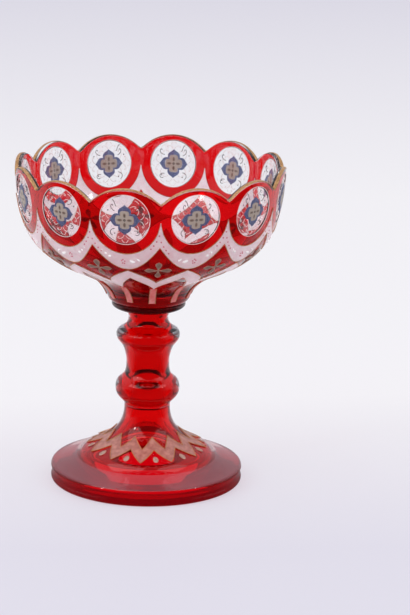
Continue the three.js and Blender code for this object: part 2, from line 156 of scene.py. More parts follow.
def all_round(steps: int) -> list[float]:
    """Angles of evenly spaced places all round, in radians."""
    return [step / steps * 2 * math.pi for step in range(steps)]


def level_ring(radius: float, height: float) -> Placer:
    """Places of a level ring about the axis, given in millimetres."""
    return lambda azimuth: around(azimuth, radius, height)


@dataclass
class Skin:
    """Surface of revolution that climbs from low to high."""

    points: list[Point]
    offsets: dict[float, "Skin"] = field(default_factory=dict)

    def radius(self, height: float) -> float:
        """Radius at a height."""
        heights = [point[1] for point in self.points]
        i = min(max(bisect_left(heights, height), 1), len(heights) - 1)
        (low_radius, low), (high_radius, high) = self.points[i - 1], self.points[i]
        return low_radius + (height - low) / (high - low) * (high_radius - low_radius)

    def off(self, distance: float) -> "Skin":
        """The same skin moved outwards, square to itself."""
        if distance not in self.offsets:
            moved = []
            for i, (radius, height) in enumerate(self.points):
                before = Vector(self.points[max(i - 1, 0)])
                after = Vector(self.points[min(i + 1, len(self.points) - 1)])
                along = (after - before).normalized()
                moved.append((radius + along.y * distance, height - along.x * distance))
            self.offsets[distance] = Skin(moved)
        return self.offsets[distance]

    def climb_share(self, height: float) -> float:
        """How much of a step along the skin is a climb."""
        slope = self.radius(height + 0.5) - self.radius(height - 0.5)
        return 1 / math.hypot(1, slope)

    def spot(self, azimuth: float, height: float, off: float = 0.0) -> Vector:
        """Place in metres at a distance off the skin."""
        return around(azimuth, self.off(off).radius(height), height)


def verts_of(made: Sequence) -> list[BMVert]:
    """The corners among what an operator made."""
    return [item for item in made if isinstance(item, BMVert)]


def open_edges(made: Sequence) -> list[BMEdge]:
    """The edges with a face at one side only, among what an operator made."""
    return [item for item in made if isinstance(item, BMEdge) and item.is_boundary]


def edges_at(verts: Sequence[BMVert]) -> list[BMEdge]:
    """The edges that meet at some corners, each once."""
    return list(dict.fromkeys(edge for vert in verts for edge in vert.link_edges))


def grow(bm: BMesh, edges: list[BMEdge], place: Placer) -> list[BMEdge]:
    """Extrudes a ring of edges and moves the new ring into place.

    Args:
        bm: Mesh that the ring is in.
        edges: The ring.
        place: Gives the place of the new ring at an azimuth.

    Returns:
        The edges of the new ring.
    """
    made = bmesh.ops.extrude_edge_only(bm, edges=edges)["geom"]
    for vert in verts_of(made):
        vert.co = place(azimuth_of(vert.co))
    return open_edges(made)


def close_at_axis(bm: BMesh, edges: list[BMEdge], height: float) -> None:
    """Closes a ring of edges to a point on the axis."""
    made = bmesh.ops.extrude_edge_only(bm, edges=edges)["geom"]
    bmesh.ops.pointmerge(bm, verts=verts_of(made), merge_co=(0, 0, height * MM))


def hoop(places: Sequence[Placer]) -> BMesh:
    """Ring about the axis whose section may vary with the azimuth.

    Args:
        places: For each corner of the section, its place at an azimuth.

    Returns:
        A closed mesh with its faces outwards.
    """
    bm = bmesh.new()
    verts = bmesh.ops.create_circle(bm, segments=AROUND, radius=1.0)["verts"]
    for vert in verts:
        vert.co = places[0](azimuth_of(vert.co))
    first = edges_at(verts)
    ring = first
    for place in places[1:]:
        ring = grow(bm, ring, place)
    bmesh.ops.bridge_loops(bm, edges=ring + first)
    bmesh.ops.recalc_face_normals(bm, faces=bm.faces)
    return bm


def lathe(section: Sequence[Point], columns: int, closed: bool) -> BMesh:
    """Turns a section about the axis.

    Args:
        section: Radius and height of each corner.
        columns: Steps round the axis.
        closed: Whether the last corner joins the first.

    Returns:
        A closed mesh with its faces outwards.
    """
    bm = bmesh.new()
    verts = [bm.verts.new(around(0, radius, height)) for radius, height in section]
    pairs = list(zip(verts, verts[1:]))
    if closed:
        pairs.append((verts[-1], verts[0]))
    edges = [bm.edges.new(pair) for pair in pairs]
    bmesh.ops.spin(
        bm, geom=verts + edges, axis=(0, 0, 1), cent=(0, 0, 0),
        angle=2 * math.pi, steps=columns, use_merge=True,
    )
    bmesh.ops.remove_doubles(bm, verts=bm.verts, dist=WELD)
    bmesh.ops.recalc_face_normals(bm, faces=bm.faces)
    return bm


def shell(path: Sequence[Point], near: float, far: float, columns: int) -> BMesh:
    """Thin shell turned about the axis, at one side of a path.

    Args:
        path: Radius and height of the path's points; a climbing path has its shell outside it.
        near: Distance of the shell's first face from the path.
        far: Distance of its second face.
        columns: Steps round the axis.

    Returns:
        A closed mesh with its faces outwards.
    """
    skin = Skin(list(path))
    return lathe(skin.off(near).points + skin.off(far).points[::-1], columns, True)


def copy_round(bm: BMesh, lobes: int = 1) -> None:
    """Repeats what is in the mesh all round, once every so many lobes."""
    turns = LOBES // lobes - 1
    bmesh.ops.spin(
        bm, geom=bm.verts[:] + bm.edges[:] + bm.faces[:], axis=(0, 0, 1), cent=(0, 0, 0),
        angle=turns * lobes * LOBE_ANGLE, steps=turns, use_duplicate=True,
    )


def band(skin: Skin, low: Edge, high: Edge, rows: int, near: float, far: float) -> BMesh:
    """Thin ring that hugs a skin between two edges whose heights vary with the azimuth.

    Args:
        skin: What it hugs.
        low: Height of its lower edge at an azimuth.
        high: Height of its upper edge at an azimuth.
        rows: Rows of faces from edge to edge.
        near: Distance of its inner face off the skin.
        far: Distance of its outer face off the skin.

    Returns:
        A closed mesh with its faces outwards.
    """
    corners = [(row / rows, far) for row in range(rows + 1)]
    corners += [(row / rows, near) for row in range(rows, -1, -1)]

    def placer(share: float, off: float) -> Placer:
        """Place of one corner of the band's section."""
        return lambda azimuth: skin.spot(
            azimuth, low(azimuth) + share * (high(azimuth) - low(azimuth)), off
        )

    return hoop([placer(*corner) for corner in corners])


def along_edge(skin: Skin, edge: Edge, off: float) -> list[Vector]:
    """Closed path all round a skin, in metres, at the height of an edge."""
    return [skin.spot(turn, edge(turn), off) for turn in all_round(AROUND)]


def dot(outline: Sequence[Point]) -> list[Point]:
    """Tiny loop round the middle of an outline, with as many points."""
    points = [Vector(point).normalized() * DOT / 2 for point in outline]
    return [(point.x, point.y) for point in points]


def mirrored(points: Sequence[Point]) -> list[list[Point]]:
    """The points in the eight places that the mirrors of a square give."""
    copies = []
    for across in (-1, 1):
        for up in (-1, 1):
            copies.append([(across * x, up * y) for x, y in points])
            copies.append([(across * y, up * x) for x, y in points])
    return copies


def sweep(bm: BMesh, path: Sequence[Vector], radius: float, closed: bool, sides: int = 6) -> None:
    """Round line along a path, extruded from point to point.

    Args:
        bm: Mesh that it is added to.
        path: Its middle line in metres.
        radius: Half its width in millimetres.
        closed: Whether it ends where it starts.
        sides: How many sides it has.
    """
    count = len(path)

    def section_at(i: int) -> Matrix:
        """Turn and place of the section at a point of the path."""
        before = path[i - 1] if closed or i > 0 else path[0]
        after = path[(i + 1) % count] if closed or i < count - 1 else path[-1]
        along = (after - before).normalized()
        out = Vector((path[i].x, path[i].y, 0)).normalized()
        across = along.cross(out).normalized()
        lift = across.cross(along).normalized()
        turn = Matrix((across, lift, along)).transposed().to_4x4()
        return Matrix.Translation(path[i]) @ turn

    places = [section_at(i) for i in range(count)]
    verts = bmesh.ops.create_circle(bm, segments=sides, radius=radius * MM, matrix=places[0])["verts"]
    first = edges_at(verts)
    ring = first
    for before, after in zip(places, places[1:]):
        made = bmesh.ops.extrude_edge_only(bm, edges=ring)["geom"]
        bmesh.ops.transform(bm, matrix=after @ before.inverted(), verts=verts_of(made))
        ring = open_edges(made)
    if closed:
        bmesh.ops.bridge_loops(bm, edges=ring + first)
    else:
        bmesh.ops.edgeloop_fill(bm, edges=ring)
        bmesh.ops.edgeloop_fill(bm, edges=first)


def bead(bm: BMesh, place: Vector, size: Point, tilt: float = 0.0) -> None:
    """Raised drop of enamel that lies on an upright wall.

    Args:
        bm: Mesh that it is added to.
        place: Its centre in metres.
        size: Half its width and half its height in millimetres.
        tilt: Turn of its long side, in radians.
    """
    half_width, half_height = size
    flatness = 0.45
    face = Matrix.Rotation(azimuth_of(place), 4, "Z") @ Matrix.Rotation(tilt, 4, "Y")
    stretch = Matrix.Diagonal((half_width, flatness * half_width, half_height, 1 / MM))
    matrix = Matrix.Translation(place) @ face @ (stretch * MM)
    bmesh.ops.create_uvsphere(bm, u_segments=10, v_segments=7, radius=1.0, matrix=matrix)


def petal_cross(reach: float, form: PetalForm, steps: int = 7) -> list[Point]:
    """Outline of four petals.

    Args:
        reach: Distance of the tips from the middle.
        form: The petals' form.
        steps: Steps along each side of a petal.

    Returns:
        The outline's points, the first not repeated.
    """
    notch, swell, shoulder = form.value
    handles = [(notch, notch), swell, shoulder, (0, 1)]
    rising = bezier([(x * reach, y * reach) for x, y in handles], steps)
    falling = [(-x, y) for x, y in reversed(rising)]
    petal = rising[:-1] + falling[:-1]
    points = []
    for quarter in range(4):
        turn = Matrix.Rotation(quarter * math.pi / 2, 2)
        points += [tuple(turn @ Vector(point)) for point in petal]
    return points


def flat_ring(
    outer: Sequence[Point], inner: Sequence[Point], cuts: int, thickness: float, crown: float
) -> BMesh:
    """Slab between two outlines of equally many points, crowned between them.

    Args:
        outer: Outer outline, in millimetres.
        inner: Inner outline, in millimetres; where it is a dot, it is closed.
        cuts: Loops between the outlines.
        thickness: Thickness at the outlines, in millimetres.
        crown: How much thicker it is between them.

    Returns:
        The slab, lying in the plane of X and Y, in millimetres, with those on its UV map.
    """
    bm = bmesh.new()
    loops = []
    for outline in (outer, inner):
        verts = [bm.verts.new((x, y, 0)) for x, y in outline]
        loops.append([bm.edges.new(pair) for pair in zip(verts, verts[1:] + verts[:1])])
    rungs = bmesh.ops.bridge_loops(bm, edges=loops[0] + loops[1])["edges"]
    bmesh.ops.subdivide_edges(bm, edges=rungs, cuts=cuts, use_grid_fill=True)
    if max(math.hypot(*point) for point in inner) < DOT:
        hub = [vert for vert in bm.verts if vert.co.length < DOT]
        bmesh.ops.pointmerge(bm, verts=hub, merge_co=(0, 0, 0))
    raised = bmesh.ops.extrude_face_region(bm, geom=bm.faces[:])["geom"]
    verts = verts_of(raised)
    bmesh.ops.translate(bm, verts=verts, vec=(0, 0, thickness))
    top = {item for item in raised if isinstance(item, BMFace)}
    for vert in verts:
        if all(face in top for face in vert.link_faces):
            vert.co.z += crown
    bmesh.ops.recalc_face_normals(bm, faces=bm.faces)
    flat = bm.loops.layers.uv.new(FLAT)
    for face in bm.faces:
        for corner in face.loops:
            corner[flat].uv = corner.vert.co.xy
    return bm


def wrap(bm: BMesh, skin: Skin, azimuth: float, height: float, off: float) -> None:
    """Wraps a flat mesh, in millimetres, on a skin.

    Args:
        bm: The flat mesh; its Z points away from the skin.
        skin: What it is wrapped on.
        azimuth: Where its middle goes.
        height: Where its middle goes.
        off: Distance off the skin.
    """
    share = skin.climb_share(height)
    wall = skin.radius(height)
    for vert in bm.verts:
        lift = round(off + vert.co.z, 3)
        vert.co = skin.spot(azimuth + vert.co.x / wall, height + vert.co.y * share, lift)


def turn_all(bm: BMesh, azimuth: float) -> None:
    """Turns a mesh about the axis."""
    bmesh.ops.rotate(bm, verts=bm.verts, cent=(0, 0, 0), matrix=Matrix.Rotation(azimuth, 3, "Z"))


def add_object(name: str, data: bpy.types.ID) -> bpy.types.Object:
    """Puts a new object with its data in the scene."""
    made = bpy.data.objects.new(name, data)
    bpy.context.scene.collection.objects.link(made)
    return made


def add_mesh(name: str, bm: BMesh, materials: Sequence[bpy.types.Material]) -> bpy.types.Object:
    """Puts a mesh in the scene, with its materials in the order of its faces' numbers, and frees it."""
    mesh = bpy.data.meshes.new(name)
    bm.to_mesh(mesh)
    bm.free()
    for material in materials:
        mesh.materials.append(material)
    return add_object(name, mesh)


@dataclass(frozen=True)
class Value:
    """A number in a node tree, on which Python arithmetic adds Math nodes."""

    tree: "Nodes"
    socket: bpy.types.NodeSocket

    def math(self, operation: str, *inputs: "Value | float") -> "Value":
        """The result of a Math node."""
        values = {i: value for i, value in enumerate(inputs)}
        node = self.tree.node("ShaderNodeMath", {"operation": operation}, values)
        return Value(self.tree, node.outputs[0])

    def __add__(self, other: "Value | float") -> "Value":
        """Sum."""
        return self.math("ADD", self, other)

    def __radd__(self, other: float) -> "Value":
        """Sum, reflected."""
        return self.math("ADD", other, self)

    def __sub__(self, other: "Value | float") -> "Value":
        """Difference."""
        return self.math("SUBTRACT", self, other)

    def __rsub__(self, other: float) -> "Value":
        """Difference, reflected."""
        return self.math("SUBTRACT", other, self)

    def __mul__(self, other: "Value | float") -> "Value":
        """Product."""
        return self.math("MULTIPLY", self, other)

    def __rmul__(self, other: float) -> "Value":
        """Product, reflected."""
        return self.math("MULTIPLY", other, self)

    def __truediv__(self, other: "Value | float") -> "Value":
        """Quotient."""
        return self.math("DIVIDE", self, other)

    def __pow__(self, other: float) -> "Value":
        """Power."""
        return self.math("POWER", self, other)

    def __abs__(self) -> "Value":
        """Size without sign."""
        return self.math("ABSOLUTE", self)

    def fraction(self) -> "Value":
        """What is over the whole number below."""
        return self.math("FRACT", self)

    def root(self) -> "Value":
        """Square root."""
        return self.math("SQRT", self)

    def least(self, other: "Value | float") -> "Value":
        """The lesser of two."""
        return self.math("MINIMUM", self, other)

    def most(self, other: "Value | float") -> "Value":
        """The greater of two."""
        return self.math("MAXIMUM", self, other)

    def clamped(self) -> "Value":
        """Held between 0 and 1."""
        return self.least(1.0).most(0.0)

    def above(self, limit: "Value | float", blur: float) -> "Value":
        """0 well below a limit and 1 well above it, over a narrow blur."""
        return ((self - limit) / blur + 0.5).clamped()

    def ramp(self, start: float, end: float) -> "Value":
        """0 at the start and 1 at the end, and held beyond them."""
        return ((self - start) / (end - start)).clamped()


class Nodes:
    """Node tree that is built node by node."""

    def __init__(self, owner: bpy.types.Material | bpy.types.World) -> None:
        """Starts an empty tree.

        Args:
            owner: The material or world that the tree belongs to.
        """
        owner.use_nodes = True
        self.tree = owner.node_tree
        self.tree.nodes.clear()

    def node(self, kind: str, settings: dict | None = None, sockets: dict | None = None) -> bpy.types.Node:
        """Adds a node.

        Args:
            kind: Type of the node.
            settings: Its properties, set first.
            sockets: Values or links of its inputs, by name or number.

        Returns:
            The node.
        """
        made = self.tree.nodes.new(kind)
        for name, value in (settings or {}).items():
            setattr(made, name, value)
        for name, value in (sockets or {}).items():
            if isinstance(value, Value):
                self.tree.links.new(value.socket, made.inputs[name])
            elif isinstance(value, bpy.types.NodeSocket):
                self.tree.links.new(value, made.inputs[name])
            else:
                made.inputs[name].default_value = value
        return made

    def coordinates(self, output: str) -> bpy.types.NodeSocket:
        """Texture coordinates of a kind."""
        return self.node("ShaderNodeTexCoord").outputs[output]

    def parts(self, vector: bpy.types.NodeSocket) -> tuple[Value, Value, Value]:
        """The three numbers of a vector."""
        x, y, z = self.node("ShaderNodeSeparateXYZ", {}, {"Vector": vector}).outputs
        return Value(self, x), Value(self, y), Value(self, z)

    def noise(self, scale: float, detail: float = 3.0) -> Value:
        """Smooth noise between 0 and 1."""
        sockets = {"Vector": self.coordinates("Object"), "Scale": scale, "Detail": detail}
        return Value(self, self.node("ShaderNodeTexNoise", {}, sockets).outputs["Fac"])

    def cylindrical(self) -> tuple[Value, Value]:
        """Azimuth in radians and height in millimetres."""
        x, y, z = self.parts(self.coordinates("Object"))
        return x.math("ARCTAN2", x, 0 - y), z / MM

    def mix(
        self, factor: "Value | float", low: "Colour | bpy.types.NodeSocket",
        high: "Colour | bpy.types.NodeSocket",
    ) -> bpy.types.NodeSocket:
        """Colour between two."""
        sockets = {
            number: colour if isinstance(colour, bpy.types.NodeSocket) else (*colour, 1)
            for number, colour in ((6, low), (7, high))
        }
        return self.node("ShaderNodeMix", {"data_type": "RGBA"}, {0: factor, **sockets}).outputs[2]

    def rays(self, kind: str) -> bpy.types.NodeSocket:
        """1 for rays of a kind, such as Is Camera Ray."""
        return self.node("ShaderNodeLightPath").outputs[kind]

    def blend(
        self, factor: "Value | bpy.types.NodeSocket", low: bpy.types.NodeSocket,
        high: bpy.types.NodeSocket,
    ) -> bpy.types.NodeSocket:
        """Shader between two."""
        return self.node("ShaderNodeMixShader", {}, {0: factor, 1: low, 2: high}).outputs[0]


class Finish(Nodes):
    """Node tree of one material."""

    def __init__(self, name: str) -> None:
        """Starts an empty material.

        Args:
            name: Its name.
        """
        self.material = bpy.data.materials.new(name)
        super().__init__(self.material)

    def principled(self, sockets: dict) -> bpy.types.NodeSocket:
        """A Principled shader."""
        full = {
            name: (*value, 1) if isinstance(value, tuple) and len(value) == 3 else value
            for name, value in sockets.items()
        }
        return self.node("ShaderNodeBsdfPrincipled", {}, full).outputs[0]

    def emission(self, colour: bpy.types.NodeSocket | tuple, strength: float) -> bpy.types.NodeSocket:
        """An Emission shader."""
        sockets = {"Color": colour, "Strength": strength}
        return self.node("ShaderNodeEmission", {}, sockets).outputs[0]

    def transparent(self, colour: Colour) -> bpy.types.NodeSocket:
        """A Transparent shader."""
        return self.node("ShaderNodeBsdfTransparent", {}, {"Color": (*colour, 1)}).outputs[0]

    def surface(self, shader: bpy.types.NodeSocket) -> bpy.types.Material:
        """Ends the tree in a shader and gives the material."""
        self.node("ShaderNodeOutputMaterial", {}, {"Surface": shader})
        return self.material


def bump(finish: Finish, height: Value, depth: float) -> bpy.types.NodeSocket:
    """Normal of a bumpy surface, with the bumps' depth in metres."""
    return finish.node("ShaderNodeBump", {}, {"Height": height, "Distance": depth}).outputs[0]


def let_light_on(
    finish: Finish, shader: bpy.types.NodeSocket, shade: Colour, bare: Value | None = None
) -> bpy.types.NodeSocket:
    """Lets light from lamps on to what lies behind a surface.

    Args:
        finish: Tree that it is added to.
        shader: The surface's shader.
        shade: What each face leaves of that light.
        bare: Where it leaves all of it.

    Returns:
        The shader.
    """
    clear = finish.transparent(shade)
    if bare:
        clear = finish.blend(bare, clear, finish.transparent((1, 1, 1)))
    for kind in ("Is Diffuse Ray", "Is Shadow Ray"):
        shader = finish.blend(finish.rays(kind), shader, clear)
    return shader


@dataclass(frozen=True)
class Glass:
    """Blown glass. A tint counts at each face that light crosses, as its square root."""

    tint: Colour
    waviness: float = 0.00006
    ior: float = 1.5
    roughness: float = 0.01
    clarity: float = 1.0

    def shader(
        self, finish: Finish, colour: Colour | bpy.types.NodeSocket, shade: Colour,
        bare: Value | None = None,
    ) -> bpy.types.NodeSocket:
        """Shader of the glass, which lets light from lamps on to what lies behind it.

        Args:
            finish: Tree that it is added to.
            colour: Its tint.
            shade: What it leaves of the lamps' light at each face.
            bare: Where it leaves all of it.

        Returns:
            The shader.
        """
        sockets = {
            "Base Color": colour, "Roughness": self.roughness, "IOR": self.ior,
            "Transmission Weight": self.clarity,
        }
        if self.waviness:
            sockets["Normal"] = bump(finish, finish.noise(38.0), self.waviness)
        return let_light_on(finish, finish.principled(sockets), shade, bare)

    def material(self, name: str) -> bpy.types.Material:
        """Material of an even glass."""
        finish = Finish(name)
        red, green, blue = (math.sqrt(part) for part in self.tint)
        return finish.surface(self.shader(finish, self.tint, (red, green, blue)))


@dataclass(frozen=True)
class Paint:
    """Fired enamel with uneven thickness. With a shade, it lets that much of the lamps' light on."""

    dark: Colour
    light: Colour
    grain: float = 900.0
    roughness: float = 0.35
    metallic: float = 0.0
    alpha: float = 1.0
    transmission: float = 0.0
    shade: Colour | None = None

    def material(self, name: str) -> bpy.types.Material:
        """Material of the enamel."""
        finish = Finish(name)
        patches = finish.noise(self.grain)
        share = ((patches - 0.35) * 3.0).clamped()
        sockets = {
            "Base Color": finish.mix(share, self.dark, self.light),
            "Roughness": self.roughness + 0.12 * patches,
            "Metallic": self.metallic,
            "Transmission Weight": self.transmission,
            "Normal": bump(finish, patches, 0.00012),
        }
        if self.alpha < 1:
            sockets["Alpha"] = (self.alpha - 0.12 + 0.24 * patches).clamped()
        shader = finish.principled(sockets)
        return finish.surface(let_light_on(finish, shader, self.shade) if self.shade else shader)


@dataclass(frozen=True)
class PetalPaint:
    """Enamel of a four-petalled flower: pale rims round darker hearts, and a dark eye.

    The hearts are ovals, given by how far out they lie and by their half-length and half-width.
    """

    rim: Colour
    heart: Colour
    spot: Colour
    away: float
    half_length: float
    half_width: float
    eye: float
    transmission: float = 0.4

    def material(self, name: str) -> bpy.types.Material:
        """Material of the flower, on its flat UV map in millimetres."""
        finish = Finish(name)
        x, y, _ = finish.parts(finish.coordinates("UV"))
        along, across = abs(x).most(abs(y)), abs(x).least(abs(y))
        length = (along - self.away) / self.half_length
        width = across / self.half_width
        oval = (length * length + width * width).root()
        grain = finish.noise(2600.0)
        heart = 1 - (oval + 0.5 * (grain - 0.5)).above(0.86, 0.3)
        colour = finish.mix(heart, self.rim, self.heart)
        colour = finish.mix((1 - oval.above(0.3, 0.3)) * grain.above(0.5, 0.2), colour, self.spot)
        middle = (x * x + y * y).root()
        colour = finish.mix(1 - middle.above(self.eye, 0.3), colour, self.spot)
        colour = finish.mix(1 - middle.above(self.eye / 3, 0.15), colour, self.rim)
        return finish.surface(finish.principled({
            "Base Color": colour, "Roughness": 0.3 + 0.15 * grain, "Normal": bump(finish, grain, 0.0001),
            "Transmission Weight": self.transmission,
        }))


CLEAR: Colour = (0.985, 0.985, 0.99)
FINISHES = {
    "clear_glass": Glass(CLEAR),
    "stem_glass": Glass((0.88, 0.83, 0.86)),
    "stem_ruby": Glass((0.88, 0.0006, 0.012), 0.0, 1.0, 0.0),
    "foot_ruby": Glass((0.60, 0.0006, 0.016), 0.0, 1.0, 0.0, 0.84),
    "flare_ruby": Glass((0.90, 0.0006, 0.008), 0.0, 1.0, 0.0, 0.95),
    # Mauve haze on the flange's top: a painted sheen for the room mirrored there.
    "flange_painted_sheen": Glass((0.74, 0.30, 0.37), 0.00006, 1.5, 0.06, 0.84),
    "collar_ruby": Glass((0.08, 0.00001, 0.0002)),
    "satin": Paint(
        (0.95, 0.79, 0.83), (1.0, 0.93, 0.95), 420.0, 0.38, transmission=0.72, shade=(0.95, 0.91, 0.93),
    ),
    "salmon": Paint((0.86, 0.18, 0.17), (0.98, 0.38, 0.36), 520.0, 0.4, transmission=0.3),
    "blush": Paint((0.64, 0.32, 0.26), (0.90, 0.58, 0.48), 420.0, 0.34, alpha=0.76, transmission=0.6),
    "cobalt": Paint((0.08, 0.11, 0.27), (0.23, 0.28, 0.50), 1400.0, 0.35, transmission=0.6),
    "petal": PetalPaint((0.56, 0.48, 0.41), (0.27, 0.19, 0.15), (0.05, 0.035, 0.03), 2.4, 1.35, 0.75, 0.6),
    "leaf": PetalPaint((0.52, 0.37, 0.29), (0.33, 0.21, 0.16), (0.16, 0.10, 0.08), 4.0, 2.5, 1.3, 0.4, 0.4),
    "gold": Paint((0.42, 0.21, 0.08), (0.84, 0.51, 0.24), 1300.0, 0.28, 0.7),
    "white_drop": Paint((0.93, 0.91, 0.91), (1.0, 0.99, 0.99), 1500.0, 0.25),
    "pink_drop": Paint((0.50, 0.09, 0.14), (0.70, 0.22, 0.28), 1500.0, 0.3),
    "white_lace": Paint((0.80, 0.66, 0.66), (0.93, 0.86, 0.86), 1500.0, 0.35),
    "dark_curl": Paint((0.05, 0.035, 0.04), (0.14, 0.10, 0.09), 1500.0, 0.32, 0.3),
    "beige": Paint((0.42, 0.26, 0.20), (0.64, 0.43, 0.35), 900.0, 0.4, alpha=0.75),
}


@dataclass
class Workshop:
    """Makes finished objects of meshes, and keeps each finish once."""

    materials: dict[str, bpy.types.Material] = field(default_factory=dict)

    def finish(self, name: str) -> bpy.types.Material:
        """Material of a named finish."""
        if name not in self.materials:
            self.materials[name] = FINISHES[name].material(name)
        return self.materials[name]

    def piece(
        self, name: str, bm: BMesh, finishes: Sequence[str],
        nodes: Sequence[str] = (), crease: float = BROAD_CREASE,
    ) -> None:
        """Turns a mesh into a piece of the cup.

        Args:
            name: Name of the piece.
            bm: Its mesh, which is freed.
            finishes: Names of its finishes, in the order of its faces' numbers.
            nodes: CAD nodes that it stands for.
            crease: Angle in degrees above which an edge stays sharp.
        """
        for face in bm.faces:
            face.smooth = True
        for edge in bm.edges:
            edge.smooth = edge.calc_face_angle(0.0) < math.radians(crease)
        made = add_mesh(name, bm, [self.finish(finish) for finish in finishes])
        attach(made, BODY)
        if nodes:
            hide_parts(*nodes)
        LOG.info("%s: %d faces", name, len(made.data.polygons))


@dataclass
class Bowl:
    """Bowl of clear glass, stained ruby outside, with lobed rim and cut roundels."""

    base: float = 95.2
    rim_top: float = 167.2
    seat_radius: float = 18.0
    throat_radius: float = 21.2
    throat_height: float = 2.8
    seat_round: float = 0.8
    rim_radius: float = 68.2
    wall: float = 3.2
    floor: float = 6.0
    floor_round: float = 5.0
    floor_flatness: float = 0.85
    rim_round: float = 0.8
    leave: Point = (0.178, 0.345)
    arrive: Point = (0.013, 0.088)
    lobe_depth: float = 8.2
    cusp_round: float = 0.7
    roundel_radius: float = 12.6
    roundel_bevel: float = 0.3
    roundel_drop: float = 15.3
    roundel_cut: float = 0.5
    ring_width: float = 5.1
    swag_tip_drop: float = 26.7
    swag_rise: float = 12.7
    zigzag_valley: float = 115.0
    zigzag_rise: float = 9.4
    zigzag_power: float = 0.72
    zigzag_low_valley: float = 108.3
    zigzag_low_peak: float = 119.1
    stalk_width: float = 3.2
    stalk_foot: float = 98.5
    swag_top_drop: float = 1.2
    seat_share: float = 0.6
    sector_gap: float = 0.4
    dish_gap: float = 0.3
    rim_gap: float = 0.6
    steps: int = 64
    wall_rows: int = 64
    wall_rings: int = 6
    window_rings: tuple[float, ...] = (0.0, 4.0, 8.0, 11.0)
    stain_blur: float = 0.16
    stain_grain: float = 55.0
    stain_spread: float = 0.5
    rim_ruby: Colour = (0.60, 0.000004, 0.00002)
    # Ruby darkened low on the bowl as painted shade, then the height and blur in millimetres where it gives
    # way to the rim's ruby.
    painted_shade_ruby: Colour = (0.26, 0.000001, 0.000005)
    painted_shade_turn: Point = (134.0, 30.0)
    stain_shade: Colour = (0.80, 0.30, 0.32)

    def __post_init__(self) -> None:
        """Works out the skins from the sizes."""
        throat = (self.throat_radius, self.base + self.throat_height)
        seat = bezier(
            [(self.seat_radius, self.base), (self.throat_radius - self.seat_round, self.base), throat], 6
        )
        rise = self.rim_top - throat[1]
        spread = self.rim_radius - self.throat_radius
        leaving = (throat[0] + self.leave[0] * spread, throat[1] + self.leave[1] * rise)
        arriving = (self.rim_radius + self.arrive[0] * spread, throat[1] + self.arrive[1] * rise)
        wall = bezier([throat, leaving, arriving, (self.rim_radius, self.rim_top)], self.wall_rows)
        self.skin = Skin(seat + wall[1:])
        self.inner = self.skin.off(-self.wall)
        self.roundel_height = self.rim_top - self.roundel_drop
        self.half_pitch = self.rim_radius * LOBE_ANGLE / 2
        self.ring = self.roundel_radius + self.ring_width

    def rim_height(self, azimuth: float) -> float:
        """Height of the rim: an arc over each lobe, with the cusps rounded."""
        arc = (self.half_pitch ** 2 + self.lobe_depth ** 2) / (2 * self.lobe_depth)
        across = self.half_pitch * towards_cusp(azimuth)
        slope = self.half_pitch / (arc - self.lobe_depth)
        to_cusp = self.half_pitch - across
        fillet = slope * (math.hypot(to_cusp, self.cusp_round / slope) - to_cusp)
        return self.rim_top - arc + math.sqrt(arc ** 2 - across ** 2) + fillet

    def under_rim(self, height: float, azimuth: float) -> float:
        """Squeezes heights above the roundels' centre so that the top edge follows the lobes."""
        if height <= self.roundel_height:
            return height
        share = (height - self.roundel_height) / (self.rim_top - self.roundel_height)
        return self.roundel_height + share * (self.rim_height(azimuth) - self.roundel_height)

    def swag_low(self, azimuth: float) -> float:
        """Lower edge of the satin swags."""
        return self.roundel_height - self.swag_tip_drop + self.swag_rise * towards_cusp(azimuth) ** 2

    def ring_edge(self, azimuth: float) -> float:
        """Lower edge of the ruby rings round the roundels, which meet at the cusps."""
        across = self.half_pitch * towards_cusp(azimuth)
        drop = math.sqrt(max(self.ring ** 2 - across ** 2, 0))
        return self.roundel_height - max(drop, self.swag_top_drop)

    def zigzag_high(self, azimuth: float) -> float:
        """Upper edge of the zigzag."""
        from_valley = 1 - towards_cusp(azimuth)
        return self.zigzag_valley + self.zigzag_rise * from_valley ** self.zigzag_power

    def zigzag_low(self, azimuth: float) -> float:
        """Lower edge of the zigzag."""
        from_valley = 1 - towards_cusp(azimuth)
        return self.zigzag_low_valley + (self.zigzag_low_peak - self.zigzag_low_valley) * from_valley

    def sector_edge(self, angle: float) -> Point:
        """Where a ray from a roundel's centre meets the edge of its sector.

        Args:
            angle: The ray's angle in degrees, from -135 to 225, with 0 across and 90 up.

        Returns:
            Distance across from the roundel's centre, and height.
        """
        bottom = self.roundel_height - self.half_pitch
        corner, shoulder = 45.0, 22.5
        top = self.rim_top - self.rim_round
        if angle <= -corner:
            return self.half_pitch * (angle + 90) / corner, bottom
        if shoulder <= angle <= 180 - shoulder:
            across = self.half_pitch * (90 - angle) / (90 - shoulder)
            return across, self.under_rim(top, LOBE_ANGLE / 2 + across / self.rim_radius)
        side = 1 if angle < 90 else -1
        rise = angle if side > 0 else 180 - angle
        share = (rise + corner) / (shoulder + corner)
        return side * self.half_pitch, bottom + share * (self.under_rim(top, 0) - bottom)

